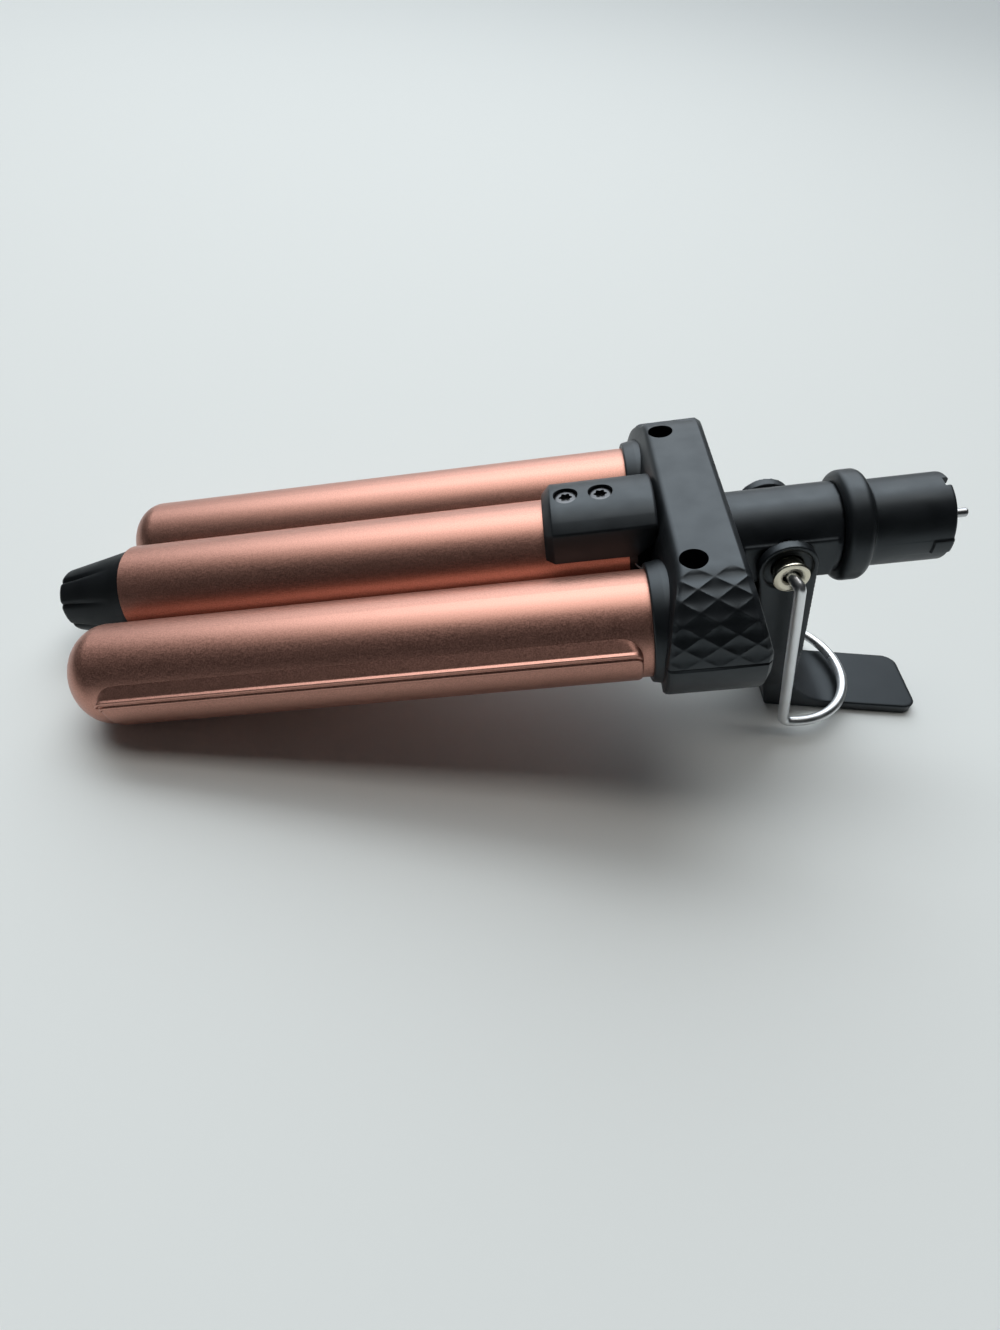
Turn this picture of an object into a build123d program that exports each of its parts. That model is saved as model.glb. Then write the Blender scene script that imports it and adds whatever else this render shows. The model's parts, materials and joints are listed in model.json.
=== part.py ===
from build123d import *

import os
from math import acos, atan2, cos, degrees, hypot, radians, sin, tan

# Press-lever head of a three-barrel hair waver, standing on its two barrel noses and its paddle.
# The head's own axes (x along the barrels to the connector, y across, z up from the barrels) are
# tilted nose down on the table: across(), side() and level() place sketches in them.
# All lengths are in millimetres and all angles in degrees.

# How the head stands
tilt = 13.6

# Barrels: two fixed outer ones, a centre one on the lever
barrel_radius = 12.5
barrel_wall = 0.8
barrel_gap = 0.1
nose_start = -131.8
nose_length = 9.0
nose_flat = 0.4  # radius of the small flat that the spun noses end in
center_rise = 4.1
center_set_back = 1.8
center_rear = -2.4
slip_fit = 0.05

# Heaters inside the barrels
element_thickness = 3.0
element_width = 14.0
element_margin = 8.0
spreader_front_gap = 12.0
spreader_rear_gap = 9.0

# Cool tip
tip_length = 19.4
tip_inset = 0.5
tip_shoulder = 2.8
tip_shoulder_drop = 0.65
tip_end_radius = 8.0
tip_rounding = 1.4
tip_spigot = 8.0
tip_flutes = 8
flute_radius = 1.3
flute_depth = 0.5
flute_fade = 2.0

# Thin cover plates on the outer barrels
plate_thickness = 0.6
plate_front_gap = 2.8
plate_rear = -3.0
plate_lower_angle = -95.0
plate_bend_angle = 5.0
plate_lip_angle = 18.0
plate_lip = 1.9
plate_corner = 5.0

# Yoke: upper shell and two lower covers
yoke_front = 3.5
yoke_depth = 20.8
yoke_margin = 5.0
yoke_middle = 0.85
yoke_front_slope = 2.7
yoke_rear_slope = 4.0
yoke_rear_shoulder = 4.0
yoke_front_rounding = 1.0
yoke_lower_rounding = 6.0
yoke_wall = 2.0
split_height = 2.0
slot_gap = 1.3
access_radius = 3.1
screw_offset = 0.25
boss_gap = 0.34
boss_wall = 1.2
boss_floor = 1.5
yoke_screw_head_radius = 2.5
yoke_screw_head = 1.6
yoke_screw_radius = 1.25
yoke_screw_length = 11.0

# Collars and earth clips at the barrel roots
collar_lip = 1.1
collar_wall = 2.3
collar_seat = 1.5
clip_length = 1.4
clip_height = 1.7
clip_angle = 50.0
clip_span = 24.0

# Steel chassis plate clamped at the parting line
chassis_thickness = 1.2
chassis_gap = 0.05
chassis_inset = 1.0
tongue_width = 20.0
tongue_reach = 11.0

# Neck, flange and connector
neck_z = 2.0
neck_radius = 11.05
neck_bore = 6.5
neck_seat = 12.3
neck_length = 35.5
flange_height = 2.95
flange_length = 6.5
flange_rounding = 2.0
pad_cut = 0.25
pad_gap = 1.5
pad_low = -4.2
pad_high = 6.8
connector_radius = 10.45
connector_length = 18.6
connector_wall = 1.85
connector_edge = 1.0
connector_bore_depth = 11.0
spigot_length = 6.0
spigot_wall = 1.4
notch_depth = 1.6
notch_width = 2.7
notch_angle = 93.5
carrier_radius = 6.9
carrier_seat = 2.5
carrier_proud = 0.4
pin_radius = 1.1
pin_proud = 6.9
pin_length = 20.0
side_pin_offset = 3.8
side_pin_recess = 3.0
side_pin_room = 0.4

# Pivot, eyelets and springs
pivot_x = 34.4
pivot_z = 1.6
wire_radius = 1.4
wire_clearance = 0.15
eyelet_radius = 3.6
eyelet_proud = 3.03
eyelet_flare = 0.5
eyelet_mouth = 3.2
eyelet_lip = 0.5
eyelet_spigot_radius = 2.4
eyelet_spigot = 1.5
spring_wire = 0.8
spring_gap = 0.55
spring_room = 0.45
spring_turns = 2
spring_leg = 1.6
pocket_depth = 2.6
press_angle = 18.0

# Lever
cheek_gap = 0.2
cheek_wall = 2.77
cheek_top_radius = 6.9
cheek_recess_radius = 5.8
cheek_recess = 0.8
column_rear = 42.9
column_foot = 36.0
web_gap = 0.3
paddle_thickness = 3.0
paddle_end = 93.3
paddle_half_width = 10.4
paddle_corner = 4.5
paddle_edge = 1.0
paddle_sweep = 15.0
taper_top = 26.0
taper_bottom = 9.0

# Arm that carries the centre barrel
arm_half_width = 9.0
arm_drop = 6.5
arm_tail = 6.0
riser_gap = 0.5
plug_flange = 2.0
plug_inset = 0.5
plug_depth = 9.0
block_front = -22.0
block_rear = 4.4
block_thickness = 3.5
block_top_inset = 2.1
block_foot_inset = 0.9
block_chamfer = 2.0
block_corner = 4.9
block_side_gap = 0.2
block_screw_x = (-16.15, -7.9)
block_screw_head_radius = 2.8
block_screw_head = 1.6
block_screw_sink = 0.6
block_screw_radius = 1.5
block_screw_length = 9.0
screw_clearance = 0.1

# Wire rest
leg_stand_off = 1.7
leg_splay = 1.1
foot_set_back = 3.7
foot_slope = 10.6
foot_straight = 2.5
foot_gap = 0.3
wire_tail_y = 9.0
wire_bend = 3.0

# Everything below follows from the sizes above.
bore_radius = barrel_radius - barrel_wall
barrel_pitch = 2 * barrel_radius + barrel_gap
nose_arc = degrees(acos(nose_flat / barrel_radius))
center_front = nose_start + center_set_back
tip_front = center_front - tip_length
tip_root_radius = barrel_radius - tip_inset
tip_shoulder_radius = tip_root_radius - tip_shoulder_drop
tip_flank = tip_length - tip_shoulder
tip_taper = degrees(atan2(tip_shoulder_radius - tip_end_radius, tip_flank))
plate_front = nose_start + plate_front_gap
plate_lip_radius = barrel_radius + plate_lip

yoke_radius = barrel_radius + yoke_margin
yoke_rear = yoke_front + yoke_depth
yoke_top = yoke_middle + yoke_radius
yoke_bottom = yoke_middle - yoke_radius
collar_depth = yoke_front + collar_seat
boss_radius = access_radius + boss_wall
screw_x = collar_depth + boss_gap + boss_radius
screw_y = barrel_pitch + screw_offset
chassis_bottom = split_height - chassis_thickness
chassis_front = yoke_front + yoke_wall + chassis_gap
slot_half_width = arm_half_width + slot_gap

neck_front = yoke_rear - neck_seat
flange_front = neck_front + neck_length
flange_rear = flange_front + flange_length
flange_radius = connector_radius + flange_height
connector_end = flange_rear + connector_length
connector_bore = connector_radius - connector_wall
pad_half_width = neck_radius - pad_cut
carrier_front = flange_front + carrier_seat
pad_rear = flange_front - pad_gap

pocket_floor = pad_half_width - pocket_depth
spring_radius = eyelet_radius + spring_gap + spring_wire / 2
pocket_radius = spring_radius + spring_wire / 2 + spring_room
cheek_inner = pad_half_width + cheek_gap
cheek_outer = cheek_inner + cheek_wall
eyelet_face = cheek_outer + eyelet_proud
eyelet_bore = wire_radius + wire_clearance
arm_top = neck_z - neck_radius - web_gap
arm_bottom = arm_top - arm_drop
riser_front = center_rear + plug_flange
riser_rear = yoke_front - riser_gap
block_radius = barrel_radius + block_thickness
block_half_top = barrel_radius - block_top_inset
block_half_foot = barrel_radius - block_foot_inset
block_half_rear = barrel_pitch - barrel_radius - collar_wall - block_side_gap

tilt_cos = cos(radians(tilt))
tilt_sin = sin(radians(tilt))
# The noses are half ellipsoids: this height lets them touch the table.
lift = -nose_start * tilt_sin + hypot(nose_length * tilt_sin, barrel_radius * tilt_cos)
# The rounded edge of the cool tip is the front-most point, the paddle's end the rear-most one.
tip_edge_radius = tip_end_radius + tip_rounding * (tan(radians(tip_taper)) - 1 / cos(radians(tip_taper)))
front_most = (
    (tip_front + tip_rounding) * tilt_cos
    - (center_rise + tip_edge_radius) * tilt_sin
    - tip_rounding
)
shift = -(front_most + paddle_end) / 2

HANDS = (("left", -1), ("right", 1))


def head_point(x, y, z):
    return Vector(shift + x * tilt_cos - z * tilt_sin, y, lift + x * tilt_sin + z * tilt_cos)


head_x = Vector(tilt_cos, 0, tilt_sin)
head_z = Vector(-tilt_sin, 0, tilt_cos)


def across(x, y=0, z=0):
    """Plane across the barrels: sketches are in (y, z) and extrude towards the connector."""
    return Plane(origin=head_point(x, y, z), x_dir=(0, 1, 0), z_dir=head_x)


def side(y=0, x=0, z=0):
    """Plane seen from the side: sketches are in (x, z)."""
    return Plane(origin=head_point(x, y, z), x_dir=head_x, z_dir=(0, -1, 0))


def level(z, x=0, y=0):
    """Plane seen from above the barrels: sketches are in (x, y)."""
    return Plane(origin=head_point(x, y, z), x_dir=head_x, z_dir=head_z)


def turning(plane):
    return Axis(plane.origin, plane.x_dir)


def outline(plane, *points):
    """Straight-sided closed sketch on a plane."""
    with BuildSketch(plane) as flat:
        with BuildLine():
            Polyline(*points, close=True)
        make_face()
    return flat.sketch


def disc(plane, radius, inner=0):
    """Disc, or ring if an inner radius is given."""
    with BuildSketch(plane) as flat:
        Circle(radius)
        if inner:
            Circle(inner, mode=Mode.SUBTRACT)
    return flat.sketch


def stadium(plane, inset=0):
    """The yoke's cross-section: half circles about the outer barrels joined by flats."""
    radius = yoke_radius - inset
    with BuildSketch(plane) as flat:
        with Locations((0, yoke_middle)):
            SlotOverall(2 * (barrel_pitch + radius), 2 * radius)
    return flat.sketch


def yoke_side(inset=0):
    """The yoke's outline from the side: sloping front and back, rounded lower back edge."""
    rounding = yoke_lower_rounding - inset
    with BuildSketch(side()) as flat:
        with BuildLine():
            FilletPolyline(
                (yoke_front + yoke_front_slope + inset, yoke_top - inset),
                (yoke_front + inset, split_height),
                (yoke_front + inset, yoke_bottom + inset),
                (yoke_rear - inset, yoke_bottom + inset),
                (yoke_rear - inset, yoke_rear_shoulder),
                (yoke_rear - yoke_rear_slope - inset, yoke_top - inset),
                radius=(0, 0, yoke_front_rounding, rounding, 0, 0),
                close=True,
            )
        make_face()
    return flat.sketch


os.makedirs("parts", exist_ok=True)

# ---------------------------------------------------------------- outer barrels and their fittings
for name, hand in HANDS:
    barrel_y = hand * barrel_pitch
    barrel_line = side(barrel_y)
    # Measured about the barrel's axis, outwards is angle 0 and up is 90.
    around = Plane(
        origin=head_point(0, barrel_y, 0), x_dir=(0, hand, 0), z_dir=head_x * hand
    )

    with BuildPart() as barrel:
        with BuildSketch(barrel_line):
            with BuildLine():
                Line((collar_depth, barrel_radius), (nose_start, barrel_radius))
                nose = EllipticalCenterArc(
                    (nose_start, 0), nose_length, barrel_radius, start_angle=90, arc_size=nose_arc
                )
                nose_inside = EllipticalCenterArc(
                    (nose_start, 0),
                    nose_length - barrel_wall,
                    bore_radius,
                    start_angle=90,
                    arc_size=nose_arc,
                )
                Line(nose @ 1, nose_inside @ 1)
                Line((nose_start, bore_radius), (collar_depth, bore_radius))
                Line((collar_depth, bore_radius), (collar_depth, barrel_radius))
            make_face()
        revolve(axis=turning(barrel_line))
    barrel.part.label = f"{name}_barrel"
    export_step(barrel.part, f"parts/{name}_barrel.step")

    plate_inner = barrel_radius + slip_fit
    plate_outer = plate_inner + plate_thickness
    plate_middle = (plate_lower_angle + plate_bend_angle) / 2
    lip_inner = plate_lip_radius - plate_thickness
    plate_start = around.offset(hand * plate_front)
    with BuildPart() as cover_plate:
        with BuildSketch(plate_start):
            with BuildLine():
                inner_ends = [
                    Vector(plate_inner, 0).rotate(Axis.Z, angle)
                    for angle in (plate_lower_angle, plate_middle, plate_bend_angle)
                ]
                outer_ends = [
                    Vector(plate_outer, 0).rotate(Axis.Z, angle)
                    for angle in (plate_bend_angle, plate_middle, plate_lower_angle)
                ]
                lip_in = Vector(lip_inner, 0).rotate(Axis.Z, plate_lip_angle)
                lip_out = Vector(plate_lip_radius, 0).rotate(Axis.Z, plate_lip_angle)
                ThreePointArc(*inner_ends)
                Polyline(inner_ends[-1], lip_in, lip_out, outer_ends[0])
                ThreePointArc(*outer_ends)
                Line(outer_ends[-1], inner_ends[0])
            make_face()
        extrude(amount=hand * (plate_rear - plate_front))
        with BuildSketch(side()) as plate_outline:
            with Locations(((plate_front + plate_rear) / 2, 0)):
                Rectangle(plate_rear - plate_front, 2 * plate_lip_radius)
            fillet(plate_outline.vertices().group_by(Axis.Z)[-1], plate_corner)
        extrude(amount=barrel_pitch + 2 * plate_lip_radius, both=True, mode=Mode.INTERSECT)
    cover_plate.part.label = f"{name}_cover_plate"
    export_step(cover_plate.part, f"parts/{name}_cover_plate.step")

    with BuildPart() as collar:
        revolve(
            outline(
                barrel_line,
                (0, barrel_radius + slip_fit),
                (0, barrel_radius + collar_lip),
                (yoke_front, barrel_radius + collar_wall),
                (collar_depth, barrel_radius + collar_wall),
                (collar_depth, barrel_radius + slip_fit),
            ),
            turning(barrel_line),
        )
    collar.part.label = f"{name}_collar"
    export_step(collar.part, f"parts/{name}_collar.step")

    spreader_front = nose_start + spreader_front_gap
    spreader_length = -spreader_rear_gap - spreader_front
    with BuildPart() as heat_spreader:
        extrude(disc(across(spreader_front, barrel_y), bore_radius - slip_fit), amount=spreader_length)
        with BuildSketch(across(spreader_front, barrel_y)):
            Rectangle(2 * barrel_radius, element_thickness)
        extrude(amount=spreader_length, mode=Mode.SUBTRACT)
    heat_spreader.part.label = f"{name}_heat_spreader"
    export_step(heat_spreader.part, f"parts/{name}_heat_spreader.step")

    with BuildPart() as heater_element:
        with BuildSketch(across(spreader_front + element_margin, barrel_y)):
            Rectangle(element_width, element_thickness - 2 * slip_fit)
        extrude(amount=spreader_length - 2 * element_margin)
    heater_element.part.label = f"{name}_heater_element"
    export_step(heater_element.part, f"parts/{name}_heater_element.step")

# Spring clips that earth the barrels, one on the inner upper side of each root.
with BuildPart() as earth_tabs:
    for name, hand in HANDS:
        with BuildSketch(across(-clip_length, hand * barrel_pitch)) as clip:
            Circle(barrel_radius + slip_fit + clip_height)
            Circle(barrel_radius + slip_fit, mode=Mode.SUBTRACT)
            with BuildLine():
                sweep_out = 2 * barrel_radius
                clip_edges = [
                    Vector(-hand * sweep_out, 0).rotate(Axis.Z, -hand * angle)
                    for angle in (clip_angle - clip_span / 2, clip_angle + clip_span / 2)
                ]
                Polyline((0, 0), *clip_edges, close=True)
            make_face(mode=Mode.INTERSECT)
        extrude(amount=clip_length)
earth_tabs.part.label = "earth_tabs"
export_step(earth_tabs.part, "parts/earth_tabs.step")

# ---------------------------------------------------------------- yoke
upper_room = level(split_height)
yoke_reach = barrel_pitch + yoke_radius
yoke_length = yoke_rear - yoke_front
yoke_start = across(yoke_front)
lid_depth = yoke_top - split_height
floor_top = split_height + boss_floor
screw_spots = [(screw_x, hand * screw_y) for _, hand in HANDS]

with BuildPart() as yoke_upper_shell:
    extrude(stadium(yoke_start), amount=yoke_length)
    extrude(yoke_side(), amount=yoke_reach, both=True, mode=Mode.INTERSECT)
    with BuildPart(mode=Mode.PRIVATE) as upper_hollow:
        extrude(stadium(yoke_start, yoke_wall), amount=yoke_length)
        extrude(yoke_side(yoke_wall), amount=yoke_reach, both=True, mode=Mode.INTERSECT)
    add(upper_hollow.part, mode=Mode.SUBTRACT)
    with BuildSketch(upper_room):
        with Locations(*screw_spots):
            Circle(boss_radius)
    extrude(amount=lid_depth - yoke_wall / 2)
    with BuildSketch(level(floor_top)):
        with Locations(*screw_spots):
            Circle(access_radius)
    extrude(amount=lid_depth, mode=Mode.SUBTRACT)
    with BuildSketch(upper_room):
        with Locations(*screw_spots):
            Circle(yoke_screw_radius + screw_clearance)
    extrude(amount=lid_depth, mode=Mode.SUBTRACT)
    for _, hand in HANDS:
        extrude(
            disc(across(0, hand * barrel_pitch), barrel_radius + collar_wall + slip_fit),
            amount=collar_depth + slip_fit,
            mode=Mode.SUBTRACT,
        )
        extrude(disc(across(0, hand * barrel_pitch), bore_radius), amount=chassis_front, mode=Mode.SUBTRACT)
    extrude(
        disc(across(neck_front, 0, neck_z), neck_radius + slip_fit),
        amount=yoke_length,
        mode=Mode.SUBTRACT,
    )
    split(bisect_by=upper_room, keep=Keep.TOP)
yoke_upper_shell.part.label = "yoke_upper_shell"
export_step(yoke_upper_shell.part, "parts/yoke_upper_shell.step")

for name, hand in HANDS:
    outer_half = Keep.BOTTOM if hand > 0 else Keep.TOP
    with BuildPart() as lower_cover:
        extrude(stadium(yoke_start), amount=yoke_length)
        extrude(yoke_side(), amount=yoke_reach, both=True, mode=Mode.INTERSECT)
        with BuildPart(mode=Mode.PRIVATE) as lower_hollow:
            extrude(stadium(yoke_start, yoke_wall), amount=yoke_length)
            extrude(yoke_side(yoke_wall), amount=yoke_reach, both=True, mode=Mode.INTERSECT)
            split(bisect_by=Plane.XZ.offset(-hand * (slot_half_width + yoke_wall)), keep=outer_half)
        add(lower_hollow.part, mode=Mode.SUBTRACT)
        with BuildSketch(level(yoke_bottom + yoke_wall / 2)):
            with Locations((screw_x, hand * screw_y)):
                Circle(boss_radius)
        extrude(amount=chassis_bottom - yoke_bottom - yoke_wall / 2)
        with BuildSketch(level(chassis_bottom)):
            with Locations((screw_x, hand * screw_y)):
                Circle(yoke_screw_radius)
        extrude(amount=-yoke_screw_length, mode=Mode.SUBTRACT)
        with BuildSketch(level(chassis_bottom)):
            with Locations(((chassis_front + yoke_rear) / 2 - yoke_wall / 2, 0)):
                Rectangle(
                    yoke_rear - yoke_wall - chassis_front + 2 * chassis_gap,
                    2 * (yoke_reach - yoke_wall),
                )
        extrude(amount=chassis_thickness, mode=Mode.SUBTRACT)
        extrude(
            disc(across(0, hand * barrel_pitch), barrel_radius + collar_wall + slip_fit),
            amount=collar_depth + slip_fit,
            mode=Mode.SUBTRACT,
        )
        extrude(disc(across(0, hand * barrel_pitch), bore_radius), amount=chassis_front, mode=Mode.SUBTRACT)
        extrude(
            disc(across(neck_front - chassis_gap, 0, neck_z), neck_radius + slip_fit),
            amount=yoke_length,
            mode=Mode.SUBTRACT,
        )
        split(bisect_by=upper_room, keep=Keep.BOTTOM)
        split(bisect_by=Plane.XZ.offset(-hand * slot_half_width), keep=outer_half)
    lower_cover.part.label = f"lower_cover_{name}"
    export_step(lower_cover.part, f"parts/lower_cover_{name}.step")

with BuildPart() as chassis_plate:
    plate_reach = yoke_reach - yoke_wall - chassis_inset
    chassis_length = yoke_rear - yoke_wall - chassis_gap - chassis_front
    with BuildSketch(level(chassis_bottom)):
        with Locations((chassis_front + chassis_length / 2, 0)):
            Rectangle(chassis_length, 2 * plate_reach)
        with Locations((neck_front + yoke_length / 2, 0)):
            Rectangle(yoke_length, 2 * (neck_radius + slip_fit), mode=Mode.SUBTRACT)
        with Locations(*[(chassis_front - tongue_reach / 2, hand * barrel_pitch) for _, hand in HANDS]):
            Rectangle(tongue_reach, tongue_width)
        with Locations(*screw_spots):
            Circle(yoke_screw_radius + screw_clearance, mode=Mode.SUBTRACT)
    extrude(amount=chassis_thickness)
chassis_plate.part.label = "chassis_plate"
export_step(chassis_plate.part, "parts/chassis_plate.step")

with BuildPart() as yoke_screws:
    with BuildSketch(level(floor_top)):
        with Locations(*screw_spots):
            Circle(yoke_screw_head_radius)
    extrude(amount=yoke_screw_head)
    with BuildSketch(level(floor_top)):
        with Locations(*screw_spots):
            Circle(yoke_screw_radius)
    extrude(amount=-yoke_screw_length)
    with BuildSketch(level(floor_top + yoke_screw_head)):
        with Locations(*screw_spots):
            RegularPolygon(yoke_screw_head_radius / 2, 6)
    extrude(amount=-yoke_screw_head / 2, mode=Mode.SUBTRACT)
yoke_screws.part.label = "yoke_screws"
export_step(yoke_screws.part, "parts/yoke_screws.step")

# ---------------------------------------------------------------- neck and connector
neck_line = side(0, 0, neck_z)
with BuildPart() as neck_tube:
    extrude(disc(across(neck_front, 0, neck_z), neck_radius), amount=flange_front - neck_front)
    with BuildSketch(side()):
        with Locations(((yoke_rear + pad_rear) / 2, (pad_low + pad_high) / 2)):
            Rectangle(pad_rear - yoke_rear, pad_high - pad_low)
    extrude(amount=pad_half_width, both=True)
    for _, hand in HANDS:
        face_plane = side(hand * pad_half_width)
        with BuildSketch(face_plane):
            with Locations(((yoke_rear + pad_rear) / 2, neck_z)):
                Rectangle(pad_rear - yoke_rear, 2 * neck_radius)
        extrude(amount=-hand * neck_radius, mode=Mode.SUBTRACT)
        with BuildSketch(side(hand * pocket_floor, pivot_x, pivot_z)):
            Circle(pocket_radius)
        extrude(amount=-hand * neck_radius, mode=Mode.SUBTRACT)
        with BuildSketch(side(hand * pocket_floor, pivot_x, pivot_z)):
            Circle(eyelet_spigot_radius + slip_fit)
        extrude(amount=hand * neck_radius / 2, mode=Mode.SUBTRACT)
    extrude(
        disc(across(neck_front, 0, neck_z), neck_bore),
        amount=flange_front - neck_front,
        mode=Mode.SUBTRACT,
    )
neck_tube.part.label = "neck_tube"
export_step(neck_tube.part, "parts/neck_tube.step")

with BuildPart() as connector_body:
    with BuildSketch(neck_line):
        with BuildLine():
            FilletPolyline(
                (flange_front, 0),
                (flange_front, flange_radius),
                (flange_rear, flange_radius),
                (flange_rear, connector_radius),
                (connector_end, connector_radius),
                (connector_end, 0),
                radius=(0, flange_rounding, flange_rounding, flange_rounding / 2, connector_edge, 0),
                close=True,
            )
        make_face()
    revolve(axis=turning(neck_line))
    extrude(disc(across(flange_front, 0, neck_z), neck_bore - slip_fit), amount=-spigot_length)
    extrude(
        disc(across(flange_front - spigot_length, 0, neck_z), neck_bore - slip_fit - spigot_wall),
        amount=carrier_seat + spigot_length,
        mode=Mode.SUBTRACT,
    )
    extrude(
        disc(across(carrier_front, 0, neck_z), carrier_radius + slip_fit),
        amount=connector_end - carrier_front,
        mode=Mode.SUBTRACT,
    )
    extrude(
        disc(across(connector_end, 0, neck_z), connector_bore),
        amount=-connector_bore_depth,
        mode=Mode.SUBTRACT,
    )
    with BuildSketch(across(connector_end, 0, neck_z)):
        with PolarLocations(connector_radius, 1, start_angle=notch_angle):
            Rectangle(connector_radius, notch_width)
    extrude(amount=-notch_depth, mode=Mode.SUBTRACT)
connector_body.part.label = "connector_body"
export_step(connector_body.part, "parts/connector_body.step")

carrier_end = connector_end + carrier_proud
pin_spots = ((0, 0), (side_pin_offset, 0), (-side_pin_offset, 0))
with BuildPart() as contact_carrier:
    extrude(disc(across(carrier_front, 0, neck_z), carrier_radius), amount=carrier_end - carrier_front)
    with BuildSketch(across(carrier_end, 0, neck_z)):
        with Locations(*pin_spots):
            Circle(pin_radius)
    extrude(amount=-pin_length, mode=Mode.SUBTRACT)
    with BuildSketch(across(carrier_end, 0, neck_z)):
        with Locations(*pin_spots[1:]):
            Circle(pin_radius + side_pin_room)
    extrude(amount=-side_pin_recess, mode=Mode.SUBTRACT)
contact_carrier.part.label = "contact_carrier"
export_step(contact_carrier.part, "parts/contact_carrier.step")

with BuildPart() as contact_pins:
    side_proud = -side_pin_recess / 2
    for spot, proud in zip(pin_spots, (pin_proud - carrier_proud, side_proud, side_proud)):
        with BuildSketch(across(carrier_end + proud, 0, neck_z)):
            with Locations(spot):
                Circle(pin_radius)
        extrude(amount=-(pin_length + proud))
    pin_ends = contact_pins.edges().filter_by(GeomType.CIRCLE).sort_by(Axis.X)[-len(pin_spots) :]
    fillet(pin_ends, pin_radius / 2)
contact_pins.part.label = "contact_pins"
export_step(contact_pins.part, "parts/contact_pins.step")

# ---------------------------------------------------------------- pivot
flare_radius = eyelet_radius + eyelet_flare
mouth_start = eyelet_face - eyelet_mouth
with BuildPart() as pivot_eyelets:
    for _, hand in HANDS:
        eyelet_plane = Plane(
            origin=head_point(pivot_x, 0, pivot_z), x_dir=(0, hand, 0), z_dir=head_z * -hand
        )
        with BuildSketch(eyelet_plane):
            with BuildLine():
                Polyline(
                    (eyelet_face - eyelet_lip, flare_radius),
                    (mouth_start, eyelet_radius),
                    (pocket_floor, eyelet_radius),
                    (pocket_floor, eyelet_spigot_radius),
                    (pocket_floor - eyelet_spigot, eyelet_spigot_radius),
                    (pocket_floor - eyelet_spigot, eyelet_bore),
                    (mouth_start, eyelet_bore),
                )
                Spline(
                    (mouth_start, eyelet_bore),
                    (eyelet_face - eyelet_mouth / 3, (eyelet_bore + eyelet_radius) / 2),
                    (eyelet_face, flare_radius - eyelet_lip),
                )
                CenterArc(
                    (eyelet_face - eyelet_lip, flare_radius - eyelet_lip),
                    eyelet_lip,
                    start_angle=0,
                    arc_size=90,
                )
            make_face()
        revolve(axis=turning(eyelet_plane))
pivot_eyelets.part.label = "pivot_eyelets"
export_step(pivot_eyelets.part, "parts/pivot_eyelets.step")

spring_width = pad_half_width - pocket_floor
spring_pitch = (spring_width - 2 * slip_fit - spring_wire) / spring_turns
spring_start = pocket_floor + slip_fit + spring_wire / 2
# The spring is built about its own axis and then placed, so that both hands are the same solid.
with BuildPart() as spring:
    coil = Helix(spring_pitch, spring_pitch * spring_turns, spring_radius)
    with BuildSketch(Plane(origin=coil @ 0, z_dir=coil % 0)):
        Circle(spring_wire / 2)
    sweep(path=coil, is_frenet=True)
    extrude(disc(Plane(origin=coil @ 1), spring_wire / 2), amount=spring_leg)
spring_seat = Plane(origin=head_point(pivot_x, spring_start, pivot_z), x_dir=head_x, z_dir=(0, 1, 0))
with BuildPart() as lever_springs:
    add(spring_seat.location * spring.part)
    mirror(about=Plane.XZ)
lever_springs.part.label = "lever_springs"
export_step(lever_springs.part, "parts/lever_springs.step")

# ---------------------------------------------------------------- lever
def on_table(x, z):
    """A head point as (X, Z) of the table's upright side view."""
    spot = head_point(x, 0, z)
    return (spot.X, spot.Z)


def web_line(x, height):
    """Where a line parallel to the head's z axis, through head x, meets a height over the table."""
    z = (height - lift - x * tilt_sin) / tilt_cos
    return on_table(x, z)


pivot_side = side(0, pivot_x, pivot_z)


def neck_room(turn):
    """The neck's space as it stands in the lever when the paddle is pressed by an angle."""
    turned = Plane(origin=pivot_side.origin, x_dir=head_x.rotate(Axis.Y, turn), z_dir=(0, -1, 0))
    with BuildSketch(turned) as flat:
        with Locations((0, (yoke_top + arm_top) / 2 - pivot_z)):
            Rectangle(4 * cheek_outer, yoke_top - arm_top)
    return flat.sketch


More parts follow.
